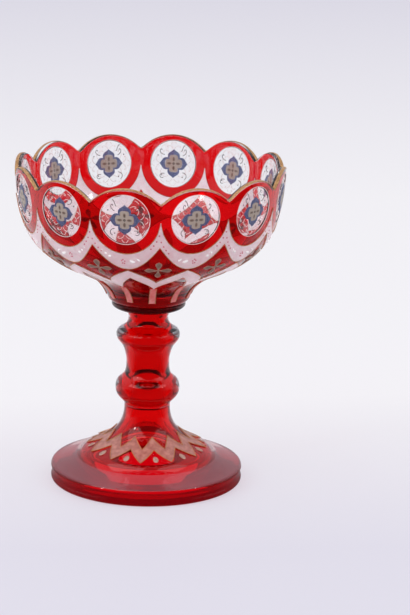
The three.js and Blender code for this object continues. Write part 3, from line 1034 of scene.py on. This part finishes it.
    def sector(self, bm: BMesh) -> None:
        """One lobe's outer wall: a disc of rings round the roundel, drawn out to its sector's edge."""
        radii = [*self.window_rings, self.roundel_radius - self.roundel_bevel]
        radii += [self.roundel_radius + ring for ring in range(self.wall_rings + 1)]
        verts = [bm.verts.new((radius, 0, 0)) for radius in radii]
        edges = [bm.edges.new(pair) for pair in zip(verts, verts[1:])]
        bmesh.ops.spin(
            bm, geom=verts + edges, axis=(0, 0, 1), cent=(0, 0, 0),
            angle=2 * math.pi, steps=self.steps, use_merge=True,
        )
        bmesh.ops.remove_doubles(bm, verts=bm.verts, dist=WELD / MM)
        for face in bm.faces:
            if face.calc_center_median().length < self.roundel_radius:
                face.material_index = Side.WINDOW.value
        for vert in bm.verts:
            radius = math.hypot(vert.co.x, vert.co.y)
            across, height = vert.co.x, self.roundel_height + vert.co.y
            off = 0.0 if radius > self.roundel_radius - self.roundel_bevel / 2 else -self.roundel_cut
            share = (radius - self.roundel_radius) / self.wall_rings
            if share > 0:
                angle = round(math.degrees(math.atan2(vert.co.y, vert.co.x)), 4)
                if angle < -135:
                    angle += 360
                edge = Vector(self.sector_edge(angle))
                reach = self.roundel_radius / radius
                near = Vector((vert.co.x * reach, self.roundel_height + vert.co.y * reach))
                across, height = near.lerp(edge, share)
            vert.co = self.skin.spot(LOBE_ANGLE / 2 + across / self.rim_radius, height, off)

    def rounded_rim(self) -> list[tuple[float, float, float]]:
        """Section over the rim, from outside in.

        Returns:
            For each corner, where it faces (0 is outwards), its distance off the skin, and its rise.
        """
        corners = []
        for start, centre in ((0, -self.rim_round), (90, self.rim_round - self.wall)):
            for step in (0, 30, 60, 90):
                turn = math.radians(start + step)
                off = centre + self.rim_round * math.cos(turn)
                corners.append((turn, off, self.rim_round * math.sin(turn)))
        return corners

    def over_rim(self, turn: float, off: float, rise: float, grown: float = 0.0) -> Placer:
        """Place of a corner of the rim's section at any azimuth.

        Args:
            turn: Where the corner faces.
            off: Its distance off the skin.
            rise: Its rise above the start of the rounding.
            grown: How far it is moved the way it faces.

        Returns:
            The corner's place as a function of the azimuth.
        """
        top = self.rim_top - self.rim_round + rise
        out, lift = round(off + grown * math.cos(turn), 4), grown * math.sin(turn)
        return lambda azimuth: self.skin.spot(azimuth, self.under_rim(top, azimuth) + lift, out)

    def on_wall(self, skin: Skin, height: float) -> Placer:
        """Places round one face of the wall, squeezed under the rim."""
        return lambda azimuth: skin.spot(azimuth, self.under_rim(height, azimuth))

    def mesh(self) -> BMesh:
        """The whole bowl, its faces numbered by side."""
        bm = bmesh.new()
        self.sector(bm)
        copy_round(bm)
        bmesh.ops.remove_doubles(bm, verts=bm.verts, dist=SEAM)
        edges = [edge for edge in bm.edges if edge.is_boundary]
        bottom = self.roundel_height - self.half_pitch
        level = (bottom + 1) * MM
        low = [edge for edge in edges if max(vert.co.z for vert in edge.verts) < level]
        rim = [edge for edge in edges if min(vert.co.z for vert in edge.verts) > level]
        for _, height in reversed(self.skin.points):
            if self.base <= height < bottom - self.sector_gap:
                low = grow(bm, low, self.on_wall(self.skin, height))
        low = grow(bm, low, level_ring(self.seat_radius * self.seat_share, self.base))
        close_at_axis(bm, low, self.base)
        outside = set(bm.faces)
        for corner in self.rounded_rim()[1:]:
            rim = grow(bm, rim, self.over_rim(*corner))
        floor = self.base + self.floor
        floor_edge = floor + self.floor_round
        for _, height in reversed(self.inner.points):
            if floor_edge + self.dish_gap < height < self.rim_top - self.rim_round - self.rim_gap:
                rim = grow(bm, rim, self.on_wall(self.inner, height))
        edge_radius = self.inner.radius(floor_edge)
        dish = bezier([(edge_radius, floor_edge), (self.floor_flatness * edge_radius, floor), (0, floor)], 10)
        for corner in dish[:-1]:
            rim = grow(bm, rim, level_ring(*corner))
        close_at_axis(bm, rim, floor)
        for face in bm.faces:
            if face not in outside:
                face.material_index = Side.INNER.value
        bmesh.ops.recalc_face_normals(bm, faces=bm.faces)
        return bm

    def stained(self, name: str) -> bpy.types.Material:
        """Ruby layer outside, darker low on the bowl as painted shade, left off under the satin bands."""
        finish = Finish(name)
        azimuth, height = finish.cylindrical()
        cusp = abs((azimuth / LOBE_ANGLE).fraction() - 0.5) * 2.0
        across = cusp * self.half_pitch
        rise = height - self.roundel_height
        away = (across * across + rise * rise).root()
        blur = self.stain_blur
        swag = away.above(self.ring, blur) * height.above(
            cusp * cusp * self.swag_rise + self.roundel_height - self.swag_tip_drop, blur
        ) * (1 - rise.above(-self.swag_top_drop, blur))
        from_valley = 1 - cusp
        high = (from_valley ** self.zigzag_power) * self.zigzag_rise + self.zigzag_valley
        low = from_valley * (self.zigzag_low_peak - self.zigzag_low_valley) + self.zigzag_low_valley
        zigzag = height.above(low, blur) * (1 - height.above(high, blur))
        patches = self.stain_spread * (finish.noise(self.stain_grain) - 0.5)
        # Painted shade: 0 low on the bowl, where the ruby is darkened, and 1 towards the rim, with random
        # patches.
        out_of_painted_shade = (height.above(*self.painted_shade_turn) + patches).clamped()
        ruby = finish.mix(out_of_painted_shade, self.painted_shade_ruby, self.rim_ruby)
        bare = (swag + zigzag).clamped()
        colour = finish.mix(bare, ruby, CLEAR)
        return finish.surface(Glass(CLEAR).shader(finish, colour, self.stain_shade, bare))

    def build(self, shop: Workshop) -> None:
        """Makes the bowl's glass."""
        stain = "ruby_stain_cut"
        shop.materials[stain] = self.stained(stain)
        finishes = {Side.STAINED: stain, Side.INNER: "clear_glass", Side.WINDOW: "clear_glass"}
        shop.piece("bowl_glass", self.mesh(), [finishes[side] for side in Side], ["bowl"])


@dataclass
class BowlOrnament:
    """Enamel and gilding fired on the bowl."""

    bowl: Bowl
    gap: float = 0.08
    enamel: float = 0.32
    line: float = 0.22
    gilding: float = 0.2
    gilded_corners: tuple[int, int] = (1, 4)
    gilded_share: float = 0.5
    quatrefoil_reach: float = 7.7
    quatrefoil_border: float = 3.0
    border_crown: float = 0.12
    flower_crown: float = 0.16
    flower_reach: float = 6.7
    flower_drop: float = 27.2
    petal_gap: float = 0.12
    stalk_gap: float = 0.1
    stalk_rows: int = 8
    stalk_line: float = 0.8
    line_lift: float = 0.7
    window_steps: int = 56
    stroke_steps: int = 10
    stroke_sides: int = 5
    pink_petals: int = 5
    pink_levels: Point = (0.35, 0.65)
    lace: float = 0.13
    volutes: tuple[tuple[Point, ...], ...] = (
        ((0.4, 7.9), (1.2, 9.6), (3.4, 10.8), (4.6, 9.2), (3.6, 8.2), (2.9, 9.0)),
        ((2.6, 6.2), (4.2, 7.6), (6.2, 7.4), (6.3, 5.9), (5.2, 5.6), (5.0, 6.4)),
        ((0.3, 11.6), (1.4, 11.4), (1.6, 10.2)),
        ((5.0, 9.9), (6.2, 9.6), (7.0, 8.4)),
    )
    curl: float = 0.17
    curls: tuple[tuple[Point, ...], ...] = (
        ((-5.0, 4.4), (-6.6, 5.0), (-7.8, 6.6), (-6.9, 8.6), (-5.4, 7.9), (-5.9, 6.9)),
        ((-4.2, 6.6), (-5.0, 7.6), (-4.8, 9.4), (-6.2, 10.0)),
        ((4.9, 4.6), (7.4, 4.7), (8.6, 6.6), (7.4, 8.4), (5.9, 7.8), (6.6, 6.9)),
        ((-5.2, -4.6), (-7.6, -4.8), (-8.2, -7.0), (-6.4, -8.2)),
        ((4.8, -5.4), (7.2, -4.8), (8.4, -6.6), (6.9, -8.4), (5.4, -7.4)),
    )
    dots: tuple[Point, ...] = ((-5.2, -7.0), (6.4, -6.2), (8.6, 4.2), (-8.4, 4.6))
    white_drops: tuple[tuple[float, Point, float], ...] = (
        (-0.36, (0.45, 1.4), 0.9), (-0.18, (0.8, 1.5), 1.2), (0.5, (0.75, 0.75), 0.0),
        (0.61, (0.6, 0.6), 0.0), (0.71, (0.4, 0.4), 0.0),
    )
    pink_flower: float = 0.1
    pink_reach: Point = (0.05, 0.13)
    pink_dots: tuple[float, ...] = (0.74, 0.82, 0.90, 0.97)
    pink_dot: float = 0.4

    def rim_gilding(self, shop: Workshop) -> None:
        """Gold over the outer rounding of the rim and part of its flat top."""
        bowl = self.bowl
        corners = bowl.rounded_rim()
        first, end = self.gilded_corners
        on_top = Vector(corners[end - 1]).lerp(Vector(corners[end]), self.gilded_share)
        section = corners[first:end] + [tuple(on_top)]
        places = [bowl.over_rim(*corner, self.gap + self.gilding) for corner in section]
        places += [bowl.over_rim(*corner, self.gap) for corner in reversed(section)]
        shop.piece("rim_gold", hoop(places), ["gold"], ["rim_gilding"])

    def bands(self, shop: Workshop) -> None:
        """Satin swags under the rings, and the satin zigzag with its stalks."""
        bowl, far = self.bowl, self.gap + self.enamel
        swags = band(bowl.skin, bowl.swag_low, bowl.ring_edge, 6, self.gap, far)
        shop.piece("satin_swags", swags, ["satin"], ["swag_band"])
        zigzag = band(bowl.skin, bowl.zigzag_low, bowl.zigzag_high, 4, self.gap, far)
        shop.piece("satin_zigzag", zigzag, ["satin"], ["zigzag_band"])
        shop.piece("salmon_stalks", self.stalks(), ["salmon"])

    def stalks(self) -> BMesh:
        """A stalk down from each valley of the zigzag."""
        bowl = self.bowl
        top = bowl.zigzag_low_valley - self.stalk_gap
        bm = bmesh.new()
        bmesh.ops.create_grid(bm, x_segments=2, y_segments=self.stalk_rows, size=0.5)
        made = bmesh.ops.extrude_face_region(bm, geom=bm.faces[:])["geom"]
        bmesh.ops.translate(bm, verts=verts_of(made), vec=(0, 0, 1))
        for vert in bm.verts:
            height = bowl.stalk_foot + (vert.co.y + 0.5) * (top - bowl.stalk_foot)
            off = self.gap if vert.co.z < 0.5 else self.gap + self.enamel
            side = vert.co.x * bowl.stalk_width / bowl.skin.radius(height)
            vert.co = bowl.skin.spot(side, height, off)
        bmesh.ops.recalc_face_normals(bm, faces=bm.faces)
        copy_round(bm)
        return bm

    def quatrefoils(self, shop: Workshop) -> None:
        """Pointed border and flower in each roundel."""
        bowl = self.bowl
        sunk = self.gap - bowl.roundel_cut
        eye = self.quatrefoil_reach - self.quatrefoil_border
        outer = petal_cross(self.quatrefoil_reach, PetalForm.POINTED)
        inner = petal_cross(eye, PetalForm.ROUND)
        petals = petal_cross(eye - self.petal_gap, PetalForm.ROUND)
        middle = dot(petals)
        for lobe in range(LOBES):
            azimuth = (lobe + 0.5) * LOBE_ANGLE
            number = f"{lobe + 1:02d}"
            border = flat_ring(outer, inner, 2, self.enamel, self.border_crown)
            wrap(border, bowl.skin, azimuth, bowl.roundel_height, sunk)
            shop.piece(f"border_{number}", border, ["cobalt"], [f"quatrefoil_{number}"])
            flower = flat_ring(petals, middle, 4, self.enamel, self.flower_crown)
            wrap(flower, bowl.skin, azimuth, bowl.roundel_height, sunk)
            nodes = [f"quatrefoil_flower_{number}"]
            shop.piece(f"flower_{number}", flower, ["petal"], nodes)

    def diamond_flowers(self, shop: Workshop) -> None:
        """Flower of four leaves in each ruby diamond between two swags."""
        bowl = self.bowl
        petals = petal_cross(self.flower_reach, PetalForm.LEAF)
        middle = dot(petals)
        for lobe in range(LOBES):
            number = f"{lobe + 1:02d}"
            flower = flat_ring(petals, middle, 4, self.enamel, self.flower_crown)
            wrap(flower, bowl.skin, lobe * LOBE_ANGLE, bowl.roundel_height - self.flower_drop, self.gap)
            nodes = [f"diamond_flower_{number}"]
            shop.piece(f"diamond_{number}", flower, ["leaf"], nodes)

    def lines(self, shop: Workshop) -> None:
        """Gold lines along the edges of the rings, swags, zigzag and stalks."""
        bowl = self.bowl
        bm = bmesh.new()
        lift = self.gap + self.enamel * self.line_lift
        rise = (bowl.zigzag_low_valley - bowl.stalk_foot) / self.stalk_rows
        heights = [bowl.stalk_foot + step * rise for step in range(self.stalk_rows + 1)]
        for side in (-0.5, 0.5):
            stalk = [
                bowl.skin.spot(side * bowl.stalk_width / bowl.skin.radius(height), height, lift)
                for height in heights
            ]
            sweep(bm, stalk, self.line * self.stalk_line, closed=False)
        copy_round(bm)
        for edge, width in (
            (bowl.swag_low, 1.0), (bowl.zigzag_high, 1.0), (bowl.ring_edge, 0.9), (bowl.zigzag_low, 0.7),
        ):
            sweep(bm, along_edge(bowl.skin, edge, lift), self.line * width, closed=True)
        bmesh.ops.recalc_face_normals(bm, faces=bm.faces)
        shop.piece("gold_lines", bm, ["gold"], crease=LINE_CREASE)

    def on_window(self, points: Sequence[Point], off: float) -> list[Vector]:
        """Places on the first lobe, from millimetres across and up from its window's middle."""
        bowl = self.bowl
        return [
            bowl.skin.spot(LOBE_ANGLE / 2 + x / bowl.rim_radius, bowl.roundel_height + y, off)
            for x, y in points
        ]

    def window_work(self, shop: Workshop) -> None:
        """White line round each window, with white lace and dark curls round its quatrefoil."""
        lace, curls = bmesh.new(), bmesh.new()
        floor = round(self.gap - self.bowl.roundel_cut, 3)
        radius = self.bowl.roundel_radius
        circle = [(radius * math.cos(turn), radius * math.sin(turn)) for turn in all_round(self.window_steps)]
        sweep(lace, self.on_window(circle, self.gap), self.lace, closed=True)
        strokes = [(lace, copy, self.lace) for volute in self.volutes for copy in mirrored(volute)]
        strokes += [(curls, curl, self.curl) for curl in self.curls]
        for bm, handles, width in strokes:
            path = self.on_window(bezier(handles, self.stroke_steps), floor)
            sweep(bm, path, width, closed=False, sides=self.stroke_sides)
        for place in self.on_window(self.dots, floor):
            bead(curls, place, (self.curl * 2, self.curl * 2))
        for name, bm, finish in (
            ("window_lace", lace, "white_lace"), ("window_curls", curls, "dark_curl"),
        ):
            copy_round(bm)
            bmesh.ops.recalc_face_normals(bm, faces=bm.faces)
            shop.piece(name, bm, [finish], crease=LINE_CREASE)

    def on_swag(self, lobe: int, share: float, level: float = 0.5) -> Vector:
        """Place on a lobe's swag, by its share of the way to a cusp and from lower to upper edge."""
        azimuth = (lobe + 0.5 + share / 2) * LOBE_ANGLE
        low, high = self.bowl.swag_low(azimuth), self.bowl.ring_edge(azimuth)
        return self.bowl.skin.spot(azimuth, low + level * (high - low), self.gap + self.enamel)

    def drops(self, shop: Workshop) -> None:
        """Raised drops of white and pink enamel, mirrored from each swag to the next."""
        white, pink = bmesh.new(), bmesh.new()
        for lobe, side in ((0, 1), (1, -1)):
            for share, size, tilt in self.white_drops:
                bead(white, self.on_swag(lobe, side * share), size, side * tilt)
            for turn in all_round(self.pink_petals):
                share = self.pink_flower + self.pink_reach[0] * math.sin(turn)
                place = self.on_swag(lobe, side * share, 0.5 + self.pink_reach[1] * math.cos(turn))
                bead(pink, place, (self.pink_dot, self.pink_dot))
            for share in self.pink_dots:
                for end, level in zip((-1, 1), self.pink_levels):
                    bead(pink, self.on_swag(lobe, end * share, level), (self.pink_dot, self.pink_dot))
        for name, bm in (("white", white), ("pink", pink)):
            copy_round(bm, 2)
            bmesh.ops.recalc_face_normals(bm, faces=bm.faces)
            shop.piece(f"{name}_drops", bm, [f"{name}_drop"], crease=LINE_CREASE)

    def build(self, shop: Workshop) -> None:
        """Makes all the ornament of the bowl."""
        self.rim_gilding(shop)
        self.bands(shop)
        self.quatrefoils(shop)
        self.diamond_flowers(shop)
        self.lines(shop)
        self.window_work(shop)
        self.drops(shop)


@dataclass
class Stand:
    """Collar and hollow stem."""

    stem_base: float = 39.6
    foot_neck: float = 11.7
    lower_knop: Point = (16.5, 9.4)
    waist: Point = (11.05, 21.4)
    upper_knop: Point = (16.3, 37.3)
    neck: Point = (10.2, 46.4)
    top: Point = (10.9, 50.5)
    wall: float = 4.3
    bore_swell: float = 2.4
    eases: tuple[Point, ...] = ((0.36, 0.59), (0.56, 0.69), (0.79, 0.26), (0.52, 0.65), (0.4, 0.4))
    collar_base: float = 90.4
    collar_height: float = 4.5
    collar_edge: float = 2.8
    collar_bevel: float = 0.6
    collar_radius: float = 18.9
    columns: int = 96
    lining_knops: Point = (10.5, 10.1)
    lining_near: float = 0.04
    lining_far: float = 0.18
    lining_end: float = 0.1

    def outline(self, wall: float, knops: Point) -> list[Point]:
        """Outline of the stem or of a layer in it.

        Args:
            wall: How far it lies inside the waist and neck.
            knops: Its radii in the lower and the upper knop.

        Returns:
            Radius and height of its points, upwards.
        """
        stops = [
            (knops[0], self.lower_knop[1]),
            (self.waist[0] - wall, self.waist[1]),
            (knops[1], self.upper_knop[1]),
            (self.neck[0] - wall, self.neck[1]),
            (self.top[0] - wall, self.top[1]),
        ]
        points = [(self.foot_neck - wall, self.stem_base)]
        for (radius, height), ease in zip(stops, self.eases):
            points += climb(points[-1], (radius, self.stem_base + height), ease, 14)
        return points

    def stem(self) -> BMesh:
        """The stem with its bore."""
        knop = self.waist[0] - self.wall + self.bore_swell
        outside = self.outline(0, (self.lower_knop[0], self.upper_knop[0]))
        return lathe(outside + self.outline(self.wall, (knop, knop))[::-1], self.columns, closed=True)

    def lining(self) -> BMesh:
        """Ruby layer in the wall, close beside the bore, and further out in the knops."""
        path = self.outline(self.wall, self.lining_knops)
        path[0] = (path[0][0], path[0][1] + self.lining_end)
        path[-1] = (path[-1][0], path[-1][1] - self.lining_end)
        return shell(path, self.lining_near, self.lining_far, self.columns)

    def collar(self) -> BMesh:
        """The wafer between stem and bowl."""
        base, top = self.collar_base, self.collar_base + self.collar_height
        rim = self.collar_radius - self.collar_bevel
        edge = (self.collar_radius, base + self.collar_edge)
        section = [(0, base), (self.top[0], base)]
        section += bezier([(self.top[0], base), (rim, base + self.collar_bevel), edge], 10)[1:]
        section += bezier([edge, (self.collar_radius, top), (rim, top)], 6)[1:]
        section.append((0, top))
        return lathe(section, self.columns, closed=False)

    def build(self, shop: Workshop) -> None:
        """Makes the stem, its ruby lining and the collar."""
        shop.piece("stem_glass", self.stem(), ["stem_glass"], ["stem"])
        shop.piece("stem_lining", self.lining(), ["stem_ruby"])
        shop.piece("collar_glass", self.collar(), ["collar_ruby"], ["collar"])


@dataclass
class Foot:
    """Hollow domed foot with a grooved edge, and the enamel zigzag on its flare."""

    height: float = 39.3
    radius: float = 49.2
    edge_height: float = 9.0
    edge_round: float = 2.0
    groove: float = 0.5
    flange_rise: float = 3.6
    dome_radius: float = 33.7
    dome_step: float = 2.2
    neck_radius: float = 11.7
    wall: float = 4.6
    stem_wall: float = 4.3
    ring_width: float = 17.5
    leave: Point = (0.15, 0.196)
    arrive_up: float = 0.26
    band_top: float = 26.6
    band_depth: float = 4.9
    band_peak_width: float = 4.9
    band_valley_width: float = 4.3
    band_turn: float = -math.pi / 18
    enamel_near: float = 0.1
    enamel_far: float = 0.4
    line: float = 0.22
    lining_near: float = 0.12
    lining_far: float = 0.42
    lining_end: float = 0.1
    oval: Point = (1.3, 2.0)
    oval_height: float = 18.4
    oval_crown: float = 0.12
    oval_steps: int = 20
    columns: int = 144

    def __post_init__(self) -> None:
        """Works out the flare from the sizes."""
        self.flange_top = self.edge_height + self.flange_rise
        edge = self.flange_top + self.dome_step
        rise = self.height - edge
        spread = self.dome_radius - self.neck_radius
        self.flare = bezier([
            (self.dome_radius, edge),
            (self.dome_radius - self.leave[0] * spread, edge + self.leave[1] * rise),
            (self.neck_radius, edge + self.arrive_up * rise),
            (self.neck_radius, self.height),
        ], 40)
        self.skin = Skin(self.flare)

    def grooved_edge(self) -> list[Point]:
        """Outline of the edge: from the resting ring's inner side, under it and up to below its top."""
        top, edge, radius = self.edge_height, self.edge_round, self.radius
        groove = radius - 2 * self.groove
        outline = [(radius - self.ring_width, 0), (radius - edge, 0)]
        outline += bezier([(radius - edge, 0), (radius, 0), (radius, edge)], 5)[1:]
        return outline + bezier([(radius, edge), (groove, top / 2), (radius, top - edge)], 8)[1:]

    def hollow(self) -> list[Point]:
        """Outline of the hollow, from the dome's edge up to the neck."""
        outline = list(Skin(self.flare).off(-self.wall).points)
        outline[-1] = (self.neck_radius - self.stem_wall, self.height)
        return outline

    def mesh(self) -> BMesh:
        """The foot with its hollow, the top of its flange numbered 1 for a painted sheen."""
        top, edge, radius = self.edge_height, self.edge_round, self.radius
        rounded = bezier([(radius, top - edge), (radius, top), (radius - edge, top)], 5)[1:]
        brim = (self.dome_radius + self.dome_step, self.flange_top)
        flange = bezier([rounded[-1], brim], 4)[1:]
        section = self.grooved_edge() + rounded + flange + self.flare + self.hollow()[::-1]
        bm = lathe(section, self.columns, closed=True)
        # Faces on top of the flange take the painted sheen.
        for face in bm.faces:
            height = face.calc_center_median().z / MM
            if face.normal.z > 0.5 and top - edge < height < self.flange_top:
                face.material_index = 1
        return bm

    def lining(self) -> BMesh:
        """Ruby layer in the glass: round the edge, under the resting ring and, numbered 1, up the hollow."""
        path = self.grooved_edge()[::-1] + self.hollow()
        path[-1] = (path[-1][0], path[-1][1] - self.lining_end)
        bm = shell(path, self.lining_near, self.lining_far, self.columns)
        for face in bm.faces:
            if face.calc_center_median().xy.length < self.dome_radius * MM:
                face.material_index = 1
        return bm

    def ovals(self) -> BMesh:
        """Oval petal of enamel under each peak of the zigzag."""
        turns = all_round(self.oval_steps)
        outline = [(self.oval[0] * math.sin(turn), self.oval[1] * math.cos(turn)) for turn in turns]
        bm = flat_ring(outline, dot(outline), 2, self.enamel_far - self.enamel_near, self.oval_crown)
        wrap(bm, self.skin, LOBE_ANGLE / 2, self.oval_height, self.enamel_near)
        copy_round(bm)
        return bm

    def band_edges(self) -> tuple[Edge, Edge]:
        """Lower and upper edge of the zigzag, before its turn."""
        valley = self.band_top - self.band_depth

        def between(at_peak: float, at_valley: float) -> Edge:
            """Edge between two heights, straight from peak to valley."""
            return lambda azimuth: at_peak + (at_valley - at_peak) * towards_cusp(azimuth)

        low = between(self.band_top - self.band_peak_width, valley - self.band_valley_width)
        return low, between(self.band_top, valley)

    def build(self, shop: Workshop) -> None:
        """Makes the foot, its ruby lining, its enamel and its gold lines."""
        shop.piece("foot_glass", self.mesh(), ["clear_glass", "flange_painted_sheen"], ["foot"])
        shop.piece("foot_lining", self.lining(), ["foot_ruby", "flare_ruby"])
        low, high = self.band_edges()
        zigzag = band(self.skin, low, high, 4, self.enamel_near, self.enamel_far)
        ovals, lines = self.ovals(), bmesh.new()
        for edge in (low, high):
            sweep(lines, along_edge(self.skin, edge, self.enamel_far), self.line, closed=True)
        bmesh.ops.recalc_face_normals(lines, faces=lines.faces)
        for bm in (zigzag, ovals, lines):
            turn_all(bm, self.band_turn)
        shop.piece("foot_zigzag", zigzag, ["blush"], ["foot_band"])
        shop.piece("foot_ovals", ovals, ["beige"])
        shop.piece("foot_gold_lines", lines, ["gold"], crease=LINE_CREASE)


@dataclass
class Lamp:
    """Soft box that points at the cup. Places and sizes are metres."""

    name: str
    place: tuple[float, float, float]
    size: Point
    power: float
    aim_height: float = 0.09

    def build(self) -> None:
        """Adds the lamp."""
        data = bpy.data.lights.new(self.name, "AREA")
        data.shape = "RECTANGLE"
        data.size, data.size_y = self.size
        data.energy = self.power
        made = add_object(self.name, data)
        made.location = self.place
        aim = Vector((0, 0, self.aim_height)) - made.location
        made.rotation_euler = aim.to_track_quat("-Z", "Y").to_euler()


@dataclass
class Studio:
    """Pale floor, soft light and the camera. Places are metres, angles are degrees."""

    place: tuple[float, float, float] = (-0.10731, -1.36305, 0.45982)
    yaw: float = 5.708
    pitch: float = 15.086
    roll: float = 1.181
    lens: float = 162.384
    sensor: float = 36.0
    floor_size: float = 5.0
    floor_drop: float = 0.0001
    floor_colour: Colour = (0.80, 0.785, 0.825)
    floor_roughness: float = 0.6
    room_edge: Point = (-0.25, 0.9)
    paper: Colour = (0.97, 0.965, 1.0)
    shaded_paper: Colour = (0.71, 0.695, 0.82)
    front_shade: Point = (0.14, -0.11)
    back_shade: Point = (0.65, 1.78)
    glow: float = 1.0
    glow_share: float = 0.62
    light: Colour = (1.0, 0.985, 1.0)
    light_strength: float = 0.78
    room_front: Colour = (0.04, 0.04, 0.045)
    room_through: Colour = (0.35, 0.34, 0.36)
    room_back: Colour = (0.60, 0.59, 0.64)
    backdrop: Colour = (0.90, 0.90, 0.93)
    reflected_floor: Colour = (0.05, 0.05, 0.055)
    reflection_edge: Point = (0.05, 0.2)
    lamps: tuple[Lamp, ...] = (
        Lamp("left_soft_box", (-0.9, -0.5, 1.4), (1.4, 1.4), 8.0),
        Lamp("right_soft_box", (0.8, -0.4, 1.2), (0.9, 0.9), 2.5),
        Lamp("left_spark", (-1.136, -0.656, 0.817), (0.12, 0.2), 1.3),
        Lamp("right_spark", (1.136, -0.656, 0.817), (0.07, 0.12), 0.4),
    )

    def camera(self) -> None:
        """Camera at the photograph's viewing angle."""
        yaw, pitch, roll = (math.radians(angle) for angle in (self.yaw, self.pitch, self.roll))
        forward = Vector((
            math.sin(yaw) * math.cos(pitch), math.cos(yaw) * math.cos(pitch), -math.sin(pitch),
        ))
        level = Vector((math.cos(yaw), -math.sin(yaw), 0))
        upright = level.cross(forward)
        right = math.cos(roll) * level + math.sin(roll) * upright
        up = math.cos(roll) * upright - math.sin(roll) * level
        data = bpy.data.cameras.new("camera")
        data.lens, data.sensor_width = self.lens, self.sensor
        made = add_object("camera", data)
        turn = Matrix((right, up, -forward)).transposed().to_4x4()
        made.matrix_world = Matrix.Translation(self.place) @ turn
        bpy.context.scene.camera = made

    def floor(self) -> None:
        """Pale floor that runs well past the frame and keeps a soft shadow."""
        bm = bmesh.new()
        bmesh.ops.create_grid(bm, x_segments=4, y_segments=4, size=self.floor_size)
        bmesh.ops.translate(bm, verts=bm.verts, vec=(0, 0, -self.floor_drop))
        made = add_mesh("floor", bm, [self.floor_finish()])

    def floor_finish(self) -> bpy.types.Material:
        """Paper that glows to the camera and in glass, a little darker in front and far behind.

        In plain reflections it is dark in front of the cup, which leaves the ruby without haze.
        """
        finish = Finish("floor")
        lit = finish.principled({"Base Color": self.floor_colour, "Roughness": self.floor_roughness})
        _, y, _ = finish.parts(finish.coordinates("Object"))
        shade = y.ramp(*self.front_shade).most(y.ramp(*self.back_shade))
        paper = finish.mix(shade, self.paper, self.shaded_paper)
        glowing = finish.emission(paper, self.glow)
        camera, glossy, passed = (
            Value(finish, finish.rays(kind))
            for kind in ("Is Camera Ray", "Is Glossy Ray", "Is Transmission Ray")
        )
        seen = camera.most(glossy).most(passed) * self.glow_share
        mirrored_only = glossy * (1 - passed) * (1 - y.above(*self.reflection_edge))
        shader = finish.blend(seen, lit, glowing)
        shader = finish.blend(mirrored_only, shader, finish.emission((*self.reflected_floor, 1), 1.0))
        material = finish.surface(shader)
        material.cycles.emission_sampling = "NONE"
        return material

    def world(self) -> None:
        """Soft light from all round. What glass shows of the room is dark in front and pale behind."""
        world = bpy.data.worlds.new("studio")
        bpy.context.scene.world = world
        nodes = Nodes(world)

        def background(colour: Colour | bpy.types.NodeSocket, strength: float) -> bpy.types.NodeSocket:
            """Background shader of a colour."""
            shown = (*colour, 1) if isinstance(colour, tuple) else colour
            sockets = {"Color": shown, "Strength": strength}
            return nodes.node("ShaderNodeBackground", {}, sockets).outputs[0]

        _, y, _ = nodes.parts(nodes.coordinates("Generated"))
        passed = Value(nodes, nodes.rays("Is Transmission Ray"))
        front = nodes.mix(passed, self.room_front, self.room_through)
        room = nodes.mix(y.above(*self.room_edge), front, self.room_back)
        in_glass = passed.most(Value(nodes, nodes.rays("Is Glossy Ray")))
        light = background(self.light, self.light_strength)
        shader = nodes.blend(in_glass, light, background(room, 1.0))
        shader = nodes.blend(nodes.rays("Is Camera Ray"), shader, background(self.backdrop, 1.0))
        nodes.node("ShaderNodeOutputWorld", {}, {"Surface": shader})

    def build(self) -> None:
        """Makes the studio."""
        bpy.context.scene.view_settings.view_transform = "Standard"
        self.camera()
        self.floor()
        self.world()
        for lamp in self.lamps:
            lamp.build()


def main() -> None:
    """Builds the studio, then the cup piece by piece."""
    logging.basicConfig(level=logging.INFO, format="%(message)s")
    shop = Workshop()
    Studio().build()
    bowl = Bowl()
    bowl.build(shop)
    BowlOrnament(bowl).build(shop)
    Stand().build(shop)
    Foot().build(shop)


if __name__ == "__main__":
    main()
